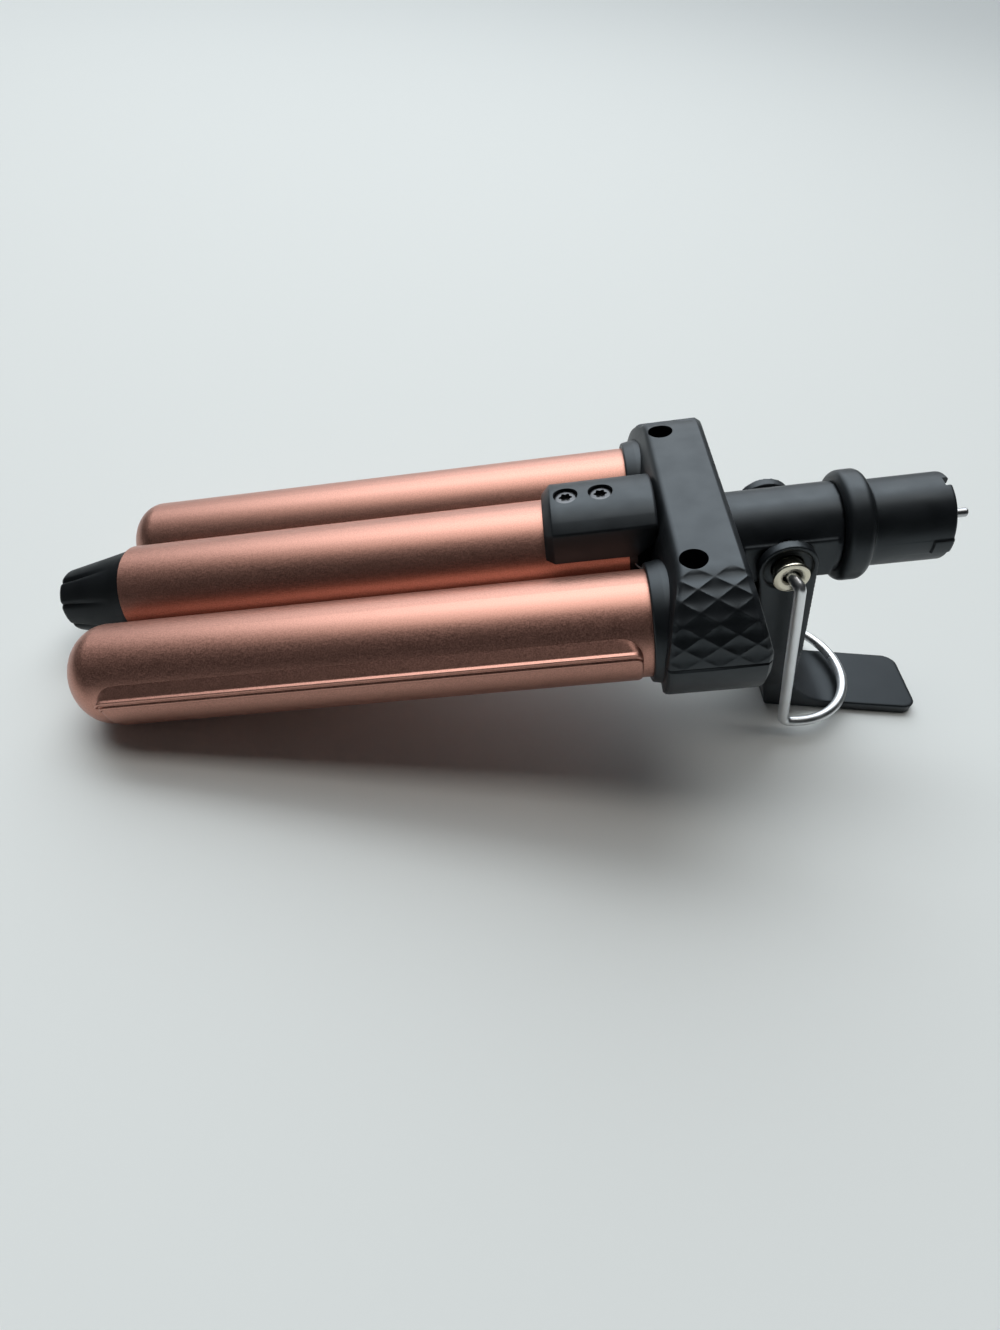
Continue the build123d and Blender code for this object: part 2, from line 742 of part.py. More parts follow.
with BuildPart() as lever:
    with BuildSketch(Plane.XZ):
        with BuildLine():
            FilletPolyline(
                on_table(pivot_x - cheek_top_radius, pivot_z),
                web_line(column_foot, 0),
                (shift + paddle_end, 0),
                (shift + paddle_end, paddle_thickness),
                web_line(column_rear, paddle_thickness),
                on_table(pivot_x + cheek_top_radius, pivot_z),
                radius=(0, paddle_edge, paddle_edge, paddle_edge, paddle_sweep, 0),
                close=True,
            )
        make_face()
    extrude(amount=cheek_outer, both=True)
    extrude(disc(pivot_side, cheek_top_radius), amount=cheek_outer, both=True)
    with BuildSketch(Plane.YZ):
        with BuildLine():
            Polyline(
                (-cheek_outer, lift * 2),
                (-cheek_outer, taper_top),
                (-paddle_half_width, taper_bottom),
                (-paddle_half_width, 0),
                (paddle_half_width, 0),
                (paddle_half_width, taper_bottom),
                (cheek_outer, taper_top),
                (cheek_outer, lift * 2),
                close=True,
            )
        make_face()
    extrude(amount=2 * paddle_end, both=True, mode=Mode.INTERSECT)
    for turn in (0, press_angle):
        extrude(neck_room(turn), amount=cheek_inner, both=True, mode=Mode.SUBTRACT)
    with BuildSketch(pivot_side):
        Circle(eyelet_radius + slip_fit)
    extrude(amount=cheek_outer, both=True, mode=Mode.SUBTRACT)
    for _, hand in HANDS:
        with BuildSketch(side(hand * (cheek_outer - cheek_recess), pivot_x, pivot_z)):
            Circle(cheek_recess_radius)
        extrude(amount=-hand * 2 * cheek_recess, mode=Mode.SUBTRACT)
        leg_spot = head_point(pivot_x + spring_radius, hand * cheek_inner, pivot_z)
        extrude(
            disc(Plane(origin=leg_spot, x_dir=head_x, z_dir=(0, hand, 0)), spring_wire / 2 + slip_fit),
            amount=spring_leg,
            mode=Mode.SUBTRACT,
        )
    # The arm is seated in a pocket in the column's front.
    with BuildSketch(side()):
        with Locations((column_foot / 2 + arm_tail / 2, (arm_top + arm_bottom) / 2)):
            Rectangle(column_foot + arm_tail, arm_drop)
    extrude(amount=arm_half_width, both=True, mode=Mode.SUBTRACT)
    with BuildSketch(Plane.XY):
        with Locations((shift + paddle_end / 2, 0)):
            RectangleRounded(paddle_end, 2 * paddle_half_width, paddle_corner)
        with Locations((shift + column_rear, 0)):
            Rectangle(2 * paddle_sweep + column_rear, 4 * paddle_half_width)
    extrude(amount=2 * lift, mode=Mode.INTERSECT)
lever.part.label = "lever"
export_step(lever.part, "parts/lever.step")

# ---------------------------------------------------------------- arm, block and centre barrel
center_line = side(0, 0, center_rise)
with BuildPart() as lever_arm:
    with BuildSketch(side()):
        with Locations(((riser_front + column_foot + arm_tail) / 2, (arm_top + arm_bottom) / 2)):
            Rectangle(column_foot + arm_tail - riser_front - 2 * slip_fit, arm_drop - 2 * slip_fit)
    extrude(amount=arm_half_width - slip_fit, both=True)
    extrude(neck_room(press_angle), amount=arm_half_width, both=True, mode=Mode.SUBTRACT)
    with BuildSketch(across(riser_front, 0, 0)) as riser:
        with Locations((0, center_rise)):
            Circle(barrel_radius)
        with Locations((0, (arm_bottom + center_rise) / 2)):
            Rectangle(2 * arm_half_width, center_rise - arm_bottom)
        Rectangle(2 * (arm_half_width - slip_fit), 4 * barrel_pitch, mode=Mode.INTERSECT)
    extrude(amount=riser_rear - riser_front)
lever_arm.part.label = "lever_arm"
export_step(lever_arm.part, "parts/lever_arm.step")

with BuildPart() as center_barrel_root:
    extrude(disc(across(center_rear, 0, center_rise), barrel_radius - plug_inset), amount=plug_flange)
    extrude(disc(across(center_rear, 0, center_rise), bore_radius - slip_fit), amount=-plug_depth)
    with BuildSketch(level(center_rise, block_screw_x[1])):
        Circle(block_screw_radius)
    extrude(amount=barrel_radius, mode=Mode.SUBTRACT)
center_barrel_root.part.label = "center_barrel_root"
export_step(center_barrel_root.part, "parts/center_barrel_root.step")

with BuildPart() as center_barrel:
    extrude(
        disc(across(center_front, 0, center_rise), barrel_radius, bore_radius),
        amount=center_rear - center_front,
    )
    with BuildSketch(level(center_rise)):
        with Locations(*[(x, 0) for x in block_screw_x]):
            Circle(block_screw_radius + screw_clearance)
    extrude(amount=2 * barrel_radius, mode=Mode.SUBTRACT)
center_barrel.part.label = "center_barrel"
export_step(center_barrel.part, "parts/center_barrel.step")

block_top = center_rise + block_radius
crease_z = center_rise + (block_radius**2 - block_half_top**2) ** 0.5
foot_z = center_rise + (barrel_radius**2 - block_half_foot**2) ** 0.5
with BuildPart() as clamp_block:
    with BuildSketch(across(block_front)):
        with BuildLine():
            ThreePointArc((-block_half_top, crease_z), (0, block_top), (block_half_top, crease_z))
            Polyline(
                (block_half_top, crease_z),
                (block_half_foot, foot_z),
                (-block_half_foot, foot_z),
                (-block_half_top, crease_z),
            )
        make_face()
    extrude(amount=block_rear - block_front)
    top_front = clamp_block.edges().filter_by(GeomType.CIRCLE).sort_by(Axis.X)[0]
    chamfer(top_front, block_chamfer)
    extrude(
        disc(across(block_front, 0, center_rise), barrel_radius + slip_fit),
        amount=block_rear - block_front,
        mode=Mode.SUBTRACT,
    )
    with BuildSketch(level(center_rise)):
        with Locations(*[(x, 0) for x in block_screw_x]):
            Circle(block_screw_radius + screw_clearance)
    extrude(amount=2 * block_radius, mode=Mode.SUBTRACT)
    # The rear corners are taken back to pass between the collars.
    for _, hand in HANDS:
        corner = outline(
            level(0),
            (block_rear - block_corner, hand * block_half_foot),
            (block_rear, hand * block_half_rear),
            (block_rear, hand * 2 * block_half_foot),
            (block_rear - block_corner, hand * 2 * block_half_foot),
        )
        extrude(corner, amount=2 * block_radius, dir=head_z, mode=Mode.SUBTRACT)
    with BuildSketch(level(block_top - block_screw_sink - block_screw_head)):
        with Locations(*[(x, 0) for x in block_screw_x]):
            Circle(block_screw_head_radius + screw_clearance)
    extrude(amount=block_radius, mode=Mode.SUBTRACT)
clamp_block.part.label = "clamp_block"
export_step(clamp_block.part, "parts/clamp_block.step")

head_seat = block_top - block_screw_sink - block_screw_head
with BuildPart() as clamp_screws:
    with BuildSketch(level(head_seat)):
        with Locations(*[(x, 0) for x in block_screw_x]):
            Circle(block_screw_head_radius)
    extrude(amount=block_screw_head)
    with BuildSketch(level(head_seat)):
        with Locations(*[(x, 0) for x in block_screw_x]):
            Circle(block_screw_radius - slip_fit)
    extrude(amount=-block_screw_length)
    with BuildSketch(level(head_seat + block_screw_head)):
        with Locations(*[(x, 0) for x in block_screw_x]):
            RegularPolygon(block_screw_head_radius / 2, 6)
    extrude(amount=-block_screw_head / 2, mode=Mode.SUBTRACT)
clamp_screws.part.label = "clamp_screws"
export_step(clamp_screws.part, "parts/clamp_screws.step")

with BuildPart() as cool_tip:
    with BuildSketch(center_line):
        with BuildLine():
            FilletPolyline(
                (center_front, 0),
                (center_front, tip_root_radius),
                (center_front - tip_shoulder, tip_shoulder_radius),
                (tip_front, tip_end_radius),
                (tip_front, 0),
                radius=(0, 0, 0, tip_rounding, 0),
                close=True,
            )
        make_face()
    revolve(axis=turning(center_line))
    with Locations(across(tip_front + tip_flank / 2, 0, center_rise)):
        flute_distance = (tip_shoulder_radius + tip_end_radius) / 2 + flute_radius - flute_depth
        flute_turn = (0, tip_taper - flute_fade, 0)
        with PolarLocations(flute_distance, tip_flutes):
            Cylinder(flute_radius, 2 * tip_length, rotation=flute_turn, mode=Mode.SUBTRACT)
    extrude(disc(across(center_front, 0, center_rise), bore_radius - slip_fit), amount=tip_spigot)
cool_tip.part.label = "cool_tip"
export_step(cool_tip.part, "parts/cool_tip.step")

center_spreader_front = center_front + spreader_front_gap
center_spreader_length = center_rear - plug_depth - slip_fit - center_spreader_front
with BuildPart() as center_heat_spreader:
    extrude(
        disc(across(center_spreader_front, 0, center_rise), bore_radius - slip_fit),
        amount=center_spreader_length,
    )
    with BuildSketch(across(center_spreader_front, 0, center_rise)):
        Rectangle(2 * barrel_radius, element_thickness)
    extrude(amount=center_spreader_length, mode=Mode.SUBTRACT)
    with BuildSketch(level(center_rise, block_screw_x[0])):
        Circle(block_screw_radius)
    extrude(amount=barrel_radius, mode=Mode.SUBTRACT)
center_heat_spreader.part.label = "center_heat_spreader"
export_step(center_heat_spreader.part, "parts/center_heat_spreader.step")

with BuildPart() as center_heater_element:
    with BuildSketch(across(center_spreader_front + element_margin, 0, center_rise)):
        Rectangle(element_width, element_thickness - 2 * slip_fit)
    extrude(amount=center_spreader_length - 2 * element_margin)
center_heater_element.part.label = "center_heater_element"
export_step(center_heater_element.part, "parts/center_heater_element.step")

# ---------------------------------------------------------------- wire rest
leg_top_y = eyelet_face + leg_stand_off
leg_foot_y = leg_top_y + leg_splay
leg_foot_x = pivot_x + foot_set_back
foot_x_step = cos(radians(foot_slope))
foot_z_step = -sin(radians(foot_slope))
# The foot's round end lies just above the paddle, which sets the height of the legs' corners.
foot_length = foot_straight + leg_foot_y
foot_end_height = paddle_thickness + foot_gap + wire_radius
leg_foot_z = (
    foot_end_height - lift - (leg_foot_x + foot_length * foot_x_step) * tilt_sin
) / tilt_cos - foot_length * foot_z_step


def foot_point(reach, y):
    return head_point(leg_foot_x + reach * foot_x_step, y, leg_foot_z + reach * foot_z_step)


with BuildPart() as wire_stand:
    with BuildLine() as wire_path:
        FilletPolyline(
            head_point(pivot_x, -wire_tail_y, pivot_z),
            head_point(pivot_x, -leg_top_y, pivot_z),
            head_point(leg_foot_x, -leg_foot_y, leg_foot_z),
            foot_point(foot_straight, -leg_foot_y),
            radius=wire_bend,
        )
        ThreePointArc(
            foot_point(foot_straight, -leg_foot_y),
            foot_point(foot_length, 0),
            foot_point(foot_straight, leg_foot_y),
        )
        FilletPolyline(
            foot_point(foot_straight, leg_foot_y),
            head_point(leg_foot_x, leg_foot_y, leg_foot_z),
            head_point(pivot_x, leg_top_y, pivot_z),
            head_point(pivot_x, wire_tail_y, pivot_z),
            radius=wire_bend,
        )
    tail = head_point(pivot_x, -wire_tail_y, pivot_z)
    with BuildSketch(Plane(origin=tail, x_dir=head_x, z_dir=(0, -1, 0))):
        Circle(wire_radius)
    sweep()
wire_stand.part.label = "wire_stand"
export_step(wire_stand.part, "parts/wire_stand.step")
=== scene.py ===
import json
import math

import bmesh
import bpy
import numpy as np
from mathutils import Matrix


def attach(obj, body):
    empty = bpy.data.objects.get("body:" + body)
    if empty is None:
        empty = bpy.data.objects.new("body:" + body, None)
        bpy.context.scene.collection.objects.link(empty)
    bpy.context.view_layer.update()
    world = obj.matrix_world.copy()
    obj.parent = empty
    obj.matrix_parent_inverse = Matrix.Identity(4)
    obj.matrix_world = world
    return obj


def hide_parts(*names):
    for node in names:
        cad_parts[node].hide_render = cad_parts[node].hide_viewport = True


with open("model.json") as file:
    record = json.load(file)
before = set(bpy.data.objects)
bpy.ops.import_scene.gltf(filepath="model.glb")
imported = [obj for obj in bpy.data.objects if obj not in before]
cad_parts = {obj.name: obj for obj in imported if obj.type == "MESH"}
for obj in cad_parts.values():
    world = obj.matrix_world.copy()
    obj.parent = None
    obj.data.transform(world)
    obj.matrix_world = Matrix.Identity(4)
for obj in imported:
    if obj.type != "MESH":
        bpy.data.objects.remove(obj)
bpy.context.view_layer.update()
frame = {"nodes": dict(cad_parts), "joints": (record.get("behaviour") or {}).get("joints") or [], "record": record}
nodes = frame["nodes"]
print("frame loaded")

# Sizes that several pieces share, in mm, as in the CAD source.
layout = {
    "pivot": (34.4, 0.0, 1.6),  # the lever's axis, from where the outer barrels enter their collars
    "barrelRadius": 12.5,
    "pitch": 25.1,  # between the axes of the centre barrel and an outer barrel
    "centerRise": 4.1,
    "neckZ": 2.0,
}
meshCare = {"merge": 2e-6, "degenerate": 1e-7}  # metres
hands = (("left", -1), ("right", 1))

# The head's own axes: x along the barrels to the connector, y across, z up from the barrels.
headX = np.array(frame["record"]["mounts"][0]["axis"], float)
headY = np.array([0.0, 1.0, 0.0])
headAxes = np.stack([headX, headY, np.cross(headX, headY)])
leverJoint = next(joint for joint in frame["joints"] if joint["name"] == "lever_press")
headOrigin = np.array(leverJoint["pos_m"], float) - np.array(layout["pivot"]) / 1000 @ headAxes


def toRow(points):
    # Head millimetres to the row's metres: the origin plus each coordinate along its own axis.
    return headOrigin + np.asarray(points, float) / 1000 @ headAxes


def makePiece(name, points, faces, sharp=30.0):
    # Points in the head's axes become a closed mesh in the row frame, doubles merged and faces outward.
    mesh = bpy.data.meshes.new(name)
    mesh.from_pydata(toRow(points).tolist(), [], faces)
    work = bmesh.new()
    work.from_mesh(mesh)
    bmesh.ops.remove_doubles(work, verts=work.verts, dist=meshCare["merge"])
    bmesh.ops.dissolve_degenerate(work, edges=work.edges, dist=meshCare["degenerate"])
    bmesh.ops.recalc_face_normals(work, faces=work.faces)
    work.to_mesh(mesh)
    work.free()
    mesh.shade_smooth()
    mesh.set_sharp_from_angle(angle=math.radians(sharp))
    piece = bpy.data.objects.new(name, mesh)
    bpy.context.scene.collection.objects.link(piece)
    return piece


def fullTurn(steps):
    # Equal angles once round, in radians.
    return np.linspace(0, 2 * math.pi, steps, endpoint=False)


def gridFaces(rows, columns, wrapRows=False, wrapColumns=False):
    # Quads between neighbouring rows and columns of points that are stored row by row.
    grid = np.arange(rows * columns).reshape(rows, columns)
    if wrapRows:
        grid = np.vstack([grid, grid[:1]])
    if wrapColumns:
        grid = np.hstack([grid, grid[:, :1]])
    corners = (grid[:-1, :-1], grid[1:, :-1], grid[1:, 1:], grid[:-1, 1:])
    return np.stack([corner.ravel() for corner in corners], 1).tolist()


def cappedFaces(rows, columns):
    # Rings joined by quads, with one flat face over the first ring and one over the last.
    last = (rows - 1) * columns
    ends = [list(range(columns)), list(range(last, last + columns))]
    return gridFaces(rows, columns, wrapColumns=True) + ends


def stripFaces(base, count, pairs):
    # Closes a ring that runs back as it came: strips between a point and its partner, one face over the rest.
    near = base + np.arange(pairs)
    far = 2 * base + count - 1 - near
    strips = np.stack([near, near + 1, far - 1, far], 1).tolist()
    rest = list(range(base + pairs, base + count - pairs))
    return strips + ([rest] if len(rest) > 2 else [])


def joined(shapes):
    # Several shapes as one: each one's faces count on from the points before it.
    points, faces, base = [], [], 0
    for spots, sides in shapes:
        points.append(spots)
        faces += [[base + corner for corner in face] for face in sides]
        base += len(spots)
    return np.concatenate(points), faces


def rounded(corners, radii, steps=6):
    # Each corner with a radius gives way to the arc that touches both of its sides. The arc's centre lies on
    # the bisector, and its points weigh the two ends by the sines of the angle to go and the angle gone.
    corners = np.asarray(corners, float)
    gone = np.linspace(0, 1, steps + 1)[:, None]
    line = [corners[:1]]
    for before, corner, after, radius in zip(corners, corners[1:], corners[2:], radii):
        if radius <= 0:
            line.append(corner[None])
            continue
        inward = (before - corner) / np.linalg.norm(before - corner)
        outward = (after - corner) / np.linalg.norm(after - corner)
        half = math.acos(np.clip(inward @ outward, -1, 1)) / 2
        reach, span = radius / math.tan(half), math.pi - 2 * half
        middle = corner + (inward + outward) / np.linalg.norm(inward + outward) * radius / math.sin(half)
        start, end = corner + inward * reach - middle, corner + outward * reach - middle
        line.append(middle + (start * np.sin((1 - gone) * span) + end * np.sin(gone * span)) / math.sin(span))
    return np.concatenate(line + [corners[-1:]])


def refined(line, gap):
    # Every stretch of a line in equal parts, as many as fit at the gap.
    parts = np.maximum(1, (np.linalg.norm(np.diff(line, axis=0), axis=1) / gap).astype(int))
    spots = np.concatenate([i + np.arange(n) / n for i, n in enumerate(parts)] + [[len(parts)]])
    return np.stack([np.interp(spots, np.arange(len(line)), column) for column in line.T], 1)


def turned(along, radii, steps, axis=0, center=(0.0, 0.0, 0.0), loop=False):
    # Rings about an axis: (radius cos turn, radius sin turn) across it, each ring at its own place along it.
    # A row of radii may differ round the turn, and a radius of zero closes the end.
    turn = fullTurn(steps)
    radii = np.asarray(radii, float).reshape(len(along), -1)
    sides = [radii * np.cos(turn), radii * np.sin(turn)]
    sides.insert(axis, np.repeat(np.asarray(along, float)[:, None], steps, 1))
    points = np.stack(sides, -1).reshape(-1, 3) + center
    return points, gridFaces(len(along), steps, wrapRows=loop, wrapColumns=True)


def tube(path, radius, sides, dome):
    # Rings (radius cos turn, radius sin turn) across a path, each frame carried on from the last untwisted,
    # and a point beyond each end, by the dome's share of the radius, that closes it.
    tangents = np.gradient(path, axis=0)
    tangents /= np.linalg.norm(tangents, axis=1)[:, None]
    normal, normals = np.cross(tangents[0], (0.3, 0.2, 0.93)), []
    for tangent in tangents:
        normal = normal - (normal @ tangent) * tangent
        normal /= np.linalg.norm(normal)
        normals.append(normal)
    normals = np.array(normals)
    turn = fullTurn(sides)[:, None]
    across = np.cos(turn) * normals[:, None] + np.sin(turn) * np.cross(tangents, normals)[:, None]
    start = np.tile(path[0] - tangents[0] * radius * dome, (1, sides, 1))
    end = np.tile(path[-1] + tangents[-1] * radius * dome, (1, sides, 1))
    rings = np.concatenate([start, path[:, None] + radius * across, end])
    return rings.reshape(-1, 3), gridFaces(len(rings), sides, wrapColumns=True)


def prism(outline, shift):
    # A closed outline and the same outline moved by the shift, joined by their sides.
    outline = np.asarray(outline, float)
    return np.concatenate([outline, outline + shift]), cappedFaces(2, len(outline))


def cylinder(start, end, radius, steps=64):
    # A ring (radius cos turn, radius sin turn) square to the line from start to end, carried along it.
    start, end = np.asarray(start, float), np.asarray(end, float)
    axis = (end - start) / np.linalg.norm(end - start)
    first = np.cross(axis, (0.1, 0.9, 0.3))
    first /= np.linalg.norm(first)
    second = np.cross(axis, first)
    turn = fullTurn(steps)[:, None]
    return prism(start + radius * (np.cos(turn) * first + np.sin(turn) * second), end - start)


def cut(piece, cutters, sharp):
    # Takes closed shapes out of a piece, one after the other.
    for points, faces in cutters:
        tool = makePiece("cutter", points, faces)
        modifier = piece.modifiers.new("cut", "BOOLEAN")
        modifier.operation = "DIFFERENCE"
        modifier.solver = "EXACT"
        modifier.object = tool
        graph = bpy.context.evaluated_depsgraph_get()
        result = bpy.data.meshes.new_from_object(piece.evaluated_get(graph))
        piece.modifiers.clear()
        old = piece.data
        piece.data = result
        bpy.data.meshes.remove(old)
        bpy.data.objects.remove(tool)
    piece.data.shade_smooth()
    piece.data.set_sharp_from_angle(angle=math.radians(sharp))
    return piece


# Finishes: colours and roughness drift between two values with a slow noise, and a fine one is the grain.
# Noise scales are in features per metre, grain depths in metres.
plasticGrain = {"scale": 3800, "strength": 0.25, "depth": 0.00004, "drift": 160, "gloss": (-0.04, 0.05),
                # the reflections' painted cool tint, which stands for the colour of the cool light that they
                # reflect
                "paintedCoolTint": (0.84, 0.93, 1.0)}
metalGrain = {"depth": 0.00003, "drift": 220, "gloss": (0.85, 1.15)}
plasticLooks = {
    "charcoal_plastic": {"dark": (0.0040, 0.0047, 0.0058), "light": (0.0058, 0.0067, 0.0082),
                         "roughness": 0.42, "specular": 0.6},
    "black_plastic": {"dark": (0.0030, 0.0035, 0.0043), "light": (0.0042, 0.0048, 0.0058),
                      "roughness": 0.46, "specular": 0.25},
    "heater_ceramic": {"dark": (0.68, 0.66, 0.60), "light": (0.74, 0.72, 0.66),
                       "roughness": 0.6, "specular": 0.6},
}
metalLooks = {
    "bare_aluminium": {"dark": (0.70, 0.70, 0.71), "light": (0.76, 0.76, 0.77), "roughness": 0.38,
                       "scale": 2500, "strength": 0.3},
    "steel": {"dark": (0.42, 0.42, 0.43), "light": (0.50, 0.50, 0.51), "roughness": 0.32,
              "scale": 3000, "strength": 0.3},
    "bright_steel": {"dark": (0.72, 0.73, 0.74), "light": (0.78, 0.79, 0.80), "roughness": 0.32,
                     "scale": 2600, "strength": 0.2},
    "nickel": {"dark": (0.66, 0.61, 0.49), "light": (0.74, 0.70, 0.58), "roughness": 0.20,
               "scale": 1600, "strength": 0.25},
    "steel_blackened": {"dark": (0.09, 0.09, 0.095), "light": (0.12, 0.12, 0.125), "roughness": 0.32,
                        "scale": 3000, "strength": 0.3},
}
roseGoldLook = {
    "dark": (0.46, 0.228, 0.175),
    "light": (0.60, 0.312, 0.245),
    "roughness": 0.43,
    "scale": 3000,
    "strength": 0.7,
    "depth": 0.00002,
    "gloss": (-0.06, 0.08),
    "coat": 0.2,
    "coatRoughness": 0.35,
}
noiseLook = {
    "range": (0.35, 0.65),  # the part of the noise that spreads over the whole change
    "grainDetail": 2,
    "driftDetail": 3,
}


def newMaterial(name, color, roughness, metallic=0.0, specular=0.5):
    # A Principled shader with its constants on its own sockets.
    material = bpy.data.materials.new(name)
    material.use_nodes = True
    shader = material.node_tree.nodes["Principled BSDF"]
    shader.inputs["Base Color"].default_value = (*color, 1)
    shader.inputs["Roughness"].default_value = roughness
    shader.inputs["Metallic"].default_value = metallic
    shader.inputs["Specular IOR Level"].default_value = specular
    return material, material.node_tree, shader


def addNoise(tree, scale, detail):
    # Noise over the piece's own coordinates.
    coords = tree.nodes.new("ShaderNodeTexCoord")
    noise = tree.nodes.new("ShaderNodeTexNoise")
    noise.inputs["Scale"].default_value = scale
    noise.inputs["Detail"].default_value = detail
    tree.links.new(coords.outputs["Object"], noise.inputs["Vector"])
    return noise


def addBump(tree, shader, noise, strength, depth):
    # The noise as a height that tilts the surface.
    bump = tree.nodes.new("ShaderNodeBump")
    bump.inputs["Strength"].default_value = strength
    bump.inputs["Distance"].default_value = depth
    tree.links.new(noise.outputs["Fac"], bump.inputs["Height"])
    tree.links.new(bump.outputs["Normal"], shader.inputs["Normal"])


def addGloss(tree, shader, noise, low, high):
    # The noise, spread between two values, drives the roughness.
    spread = tree.nodes.new("ShaderNodeMapRange")
    spread.inputs["From Min"].default_value, spread.inputs["From Max"].default_value = noiseLook["range"]
    spread.inputs["To Min"].default_value = low
    spread.inputs["To Max"].default_value = high
    tree.links.new(noise.outputs["Fac"], spread.inputs["Value"])
    tree.links.new(spread.outputs["Result"], shader.inputs["Roughness"])


def addColors(tree, shader, noise, look):
    # The noise mixes two close colours.
    ramp = tree.nodes.new("ShaderNodeValToRGB")
    colors = (look["dark"], look["light"])
    for element, position, color in zip(ramp.color_ramp.elements, noiseLook["range"], colors):
        element.position = position
        element.color = (*color, 1)
    tree.links.new(noise.outputs["Fac"], ramp.inputs["Fac"])
    tree.links.new(ramp.outputs["Color"], shader.inputs["Base Color"])


def plasticMaterial(name, look):
    # Soft-touch moulded plastic: fine spark-eroded grain, slow changes of colour and gloss, and a painted cool
    # tint on its reflections.
    rough, grain = look["roughness"], plasticGrain
    material, tree, shader = newMaterial(name, look["dark"], rough, specular=look["specular"])
    # A painted cool tint on the reflections stands for the cool light's colour.
    shader.inputs["Specular Tint"].default_value = (*grain["paintedCoolTint"], 1)
    fine = addNoise(tree, grain["scale"], noiseLook["grainDetail"])
    addBump(tree, shader, fine, grain["strength"], grain["depth"])
    drift = addNoise(tree, grain["drift"], noiseLook["driftDetail"])
    addColors(tree, shader, drift, look)
    addGloss(tree, shader, drift, rough + grain["gloss"][0], rough + grain["gloss"][1])
    return material


def metalMaterial(name, look):
    # Bare or plated metal with a fine surface grain.
    rough, grain = look["roughness"], metalGrain
    material, tree, shader = newMaterial(name, look["dark"], rough, 1.0)
    fine = addNoise(tree, look["scale"], noiseLook["grainDetail"])
    addBump(tree, shader, fine, look["strength"], grain["depth"])
    drift = addNoise(tree, grain["drift"], noiseLook["driftDetail"])
    addColors(tree, shader, drift, look)
    addGloss(tree, shader, drift, rough * grain["gloss"][0], rough * grain["gloss"][1])
    return material


def roseGoldMaterial():
    # Fine sandy metallic coat: small grains tilt the surface and change its colour and gloss.
    look = roseGoldLook
    material, tree, shader = newMaterial("rose_gold", look["dark"], look["roughness"], 1.0)
    fine = addNoise(tree, look["scale"], noiseLook["grainDetail"])
    addBump(tree, shader, fine, look["strength"], look["depth"])
    addColors(tree, shader, fine, look)
    addGloss(tree, shader, fine, look["roughness"] + look["gloss"][0], look["roughness"] + look["gloss"][1])
    shader.inputs["Coat Weight"].default_value = look["coat"]
    shader.inputs["Coat Roughness"].default_value = look["coatRoughness"]
    return material


finishes = {name: plasticMaterial(name, look) for name, look in plasticLooks.items()}
finishes.update({name: metalMaterial(name, look) for name, look in metalLooks.items()})
finishes["rose_gold"] = roseGoldMaterial()
replacedNodes = set()
print("materials made")


def place(piece, body, slotName, *replaced, finish=None):
    # Rides with its body, stands for its nodes, and takes its slot's finish or another one that is named.
    piece.data.materials.clear()
    piece.data.materials.append(finishes[finish or slotName])
    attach(piece, body)
    if replaced:
        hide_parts(*replaced)
        replacedNodes.update(replaced)
    return piece


facets = {
    "start": 9.3,  # x of one column of facet corners
    "step": 3.75,
    "angle": 12.9,  # lowest facet corner, degrees above the horizontal
    "angleStep": 8.38,
    "depth": 0.42,
    "power": 0.75,  # below 1 it flattens the dish and steepens its rim
    "top": 77.0,
    "fadeEnd": 81.0,
    "fadeOver": 6.0,
}
yoke = {
    "front": 3.5,
    "rear": 24.3,
    "radius": 17.5,
    "middle": 0.85,  # height of the round ends' axes
    "split": 2.0,  # height of the seam between the upper shell and the lower covers
    "seam": 0.12,  # half the gap there
    "seamRound": 0.25,
    "frontEdge": 1.1,
    "upperRear": [(-1.15, 0.0), (-0.95, 0.10), (-0.12, 0.88), (0.0, 1.12)],  # (past the rear, set in)
    "lowerRear": [(-1.0, 0.0), (-0.9, 0.12), (-0.1, 0.9), (0.0, 1.1)],
    "face": 1.7,  # the upper front: its foot, its lean, and a curve above the knee
    "lean": 0.15,
    "knee": 10.0,
    "curve": 0.025,
    "rearLean": 4.0,  # the upper rear comes forward by this over the height from its knee
    "rearKnee": 4.0,
    "rearHeight": 14.35,
    "rearReach": 12.0,  # the lower covers' round rear and front corners
    "rearRise": 16.0,
    "frontRound": 3.0,
    "frontRise": 7.0,
    "facetInset": 0.4,  # rows that are set in further than this have no facets
    "slotHalf": 10.3,  # half the gap between the lower covers
    "pull": (13.0, 8.0),  # the covers' front follows the upper shell from this y on, over this width
    "collarSeat": {"from": -5.0, "to": 5.05, "radius": 14.4},
    "neckSeat": {"from": 12.0, "to": 40.0, "radius": 11.15},
    "screwHole": {"x": 9.64, "y": 25.35, "from": 3.5, "to": 25.0, "radius": 3.1},
    "recess": {"half": 10.9, "outline": [(-5.0, 1.0), (3.5, 1.0), (5.55, 14.5), (-5.0, 14.5)]},  # (x, z)
    "sharp": 24.0,
}


def facetDepth(x, angle):
    # Each diamond between four lattice corners is a shallow dish: one minus the square across it, both ways,
    # to the power. Only diamonds whose middle lies between the lowest corner and the top are sunk.
    across = (x - facets["start"]) / facets["step"]
    up = (angle - facets["angle"]) / facets["angleStep"]
    s, t = (across + up) / 2, (across - up) / 2
    dish = (1 - (2 * (s - np.floor(s)) - 1) ** 2) * (1 - (2 * (t - np.floor(t)) - 1) ** 2)
    centerAngle = facets["angle"] + facets["angleStep"] * (np.floor(s) - np.floor(t))
    fade = np.clip((facets["fadeEnd"] - angle) / facets["fadeOver"], 0, 1)
    inside = (centerAngle > facets["angle"] - facets["angleStep"] / 2) & (centerAngle < facets["top"])
    return facets["depth"] * dish ** facets["power"] * fade * inside


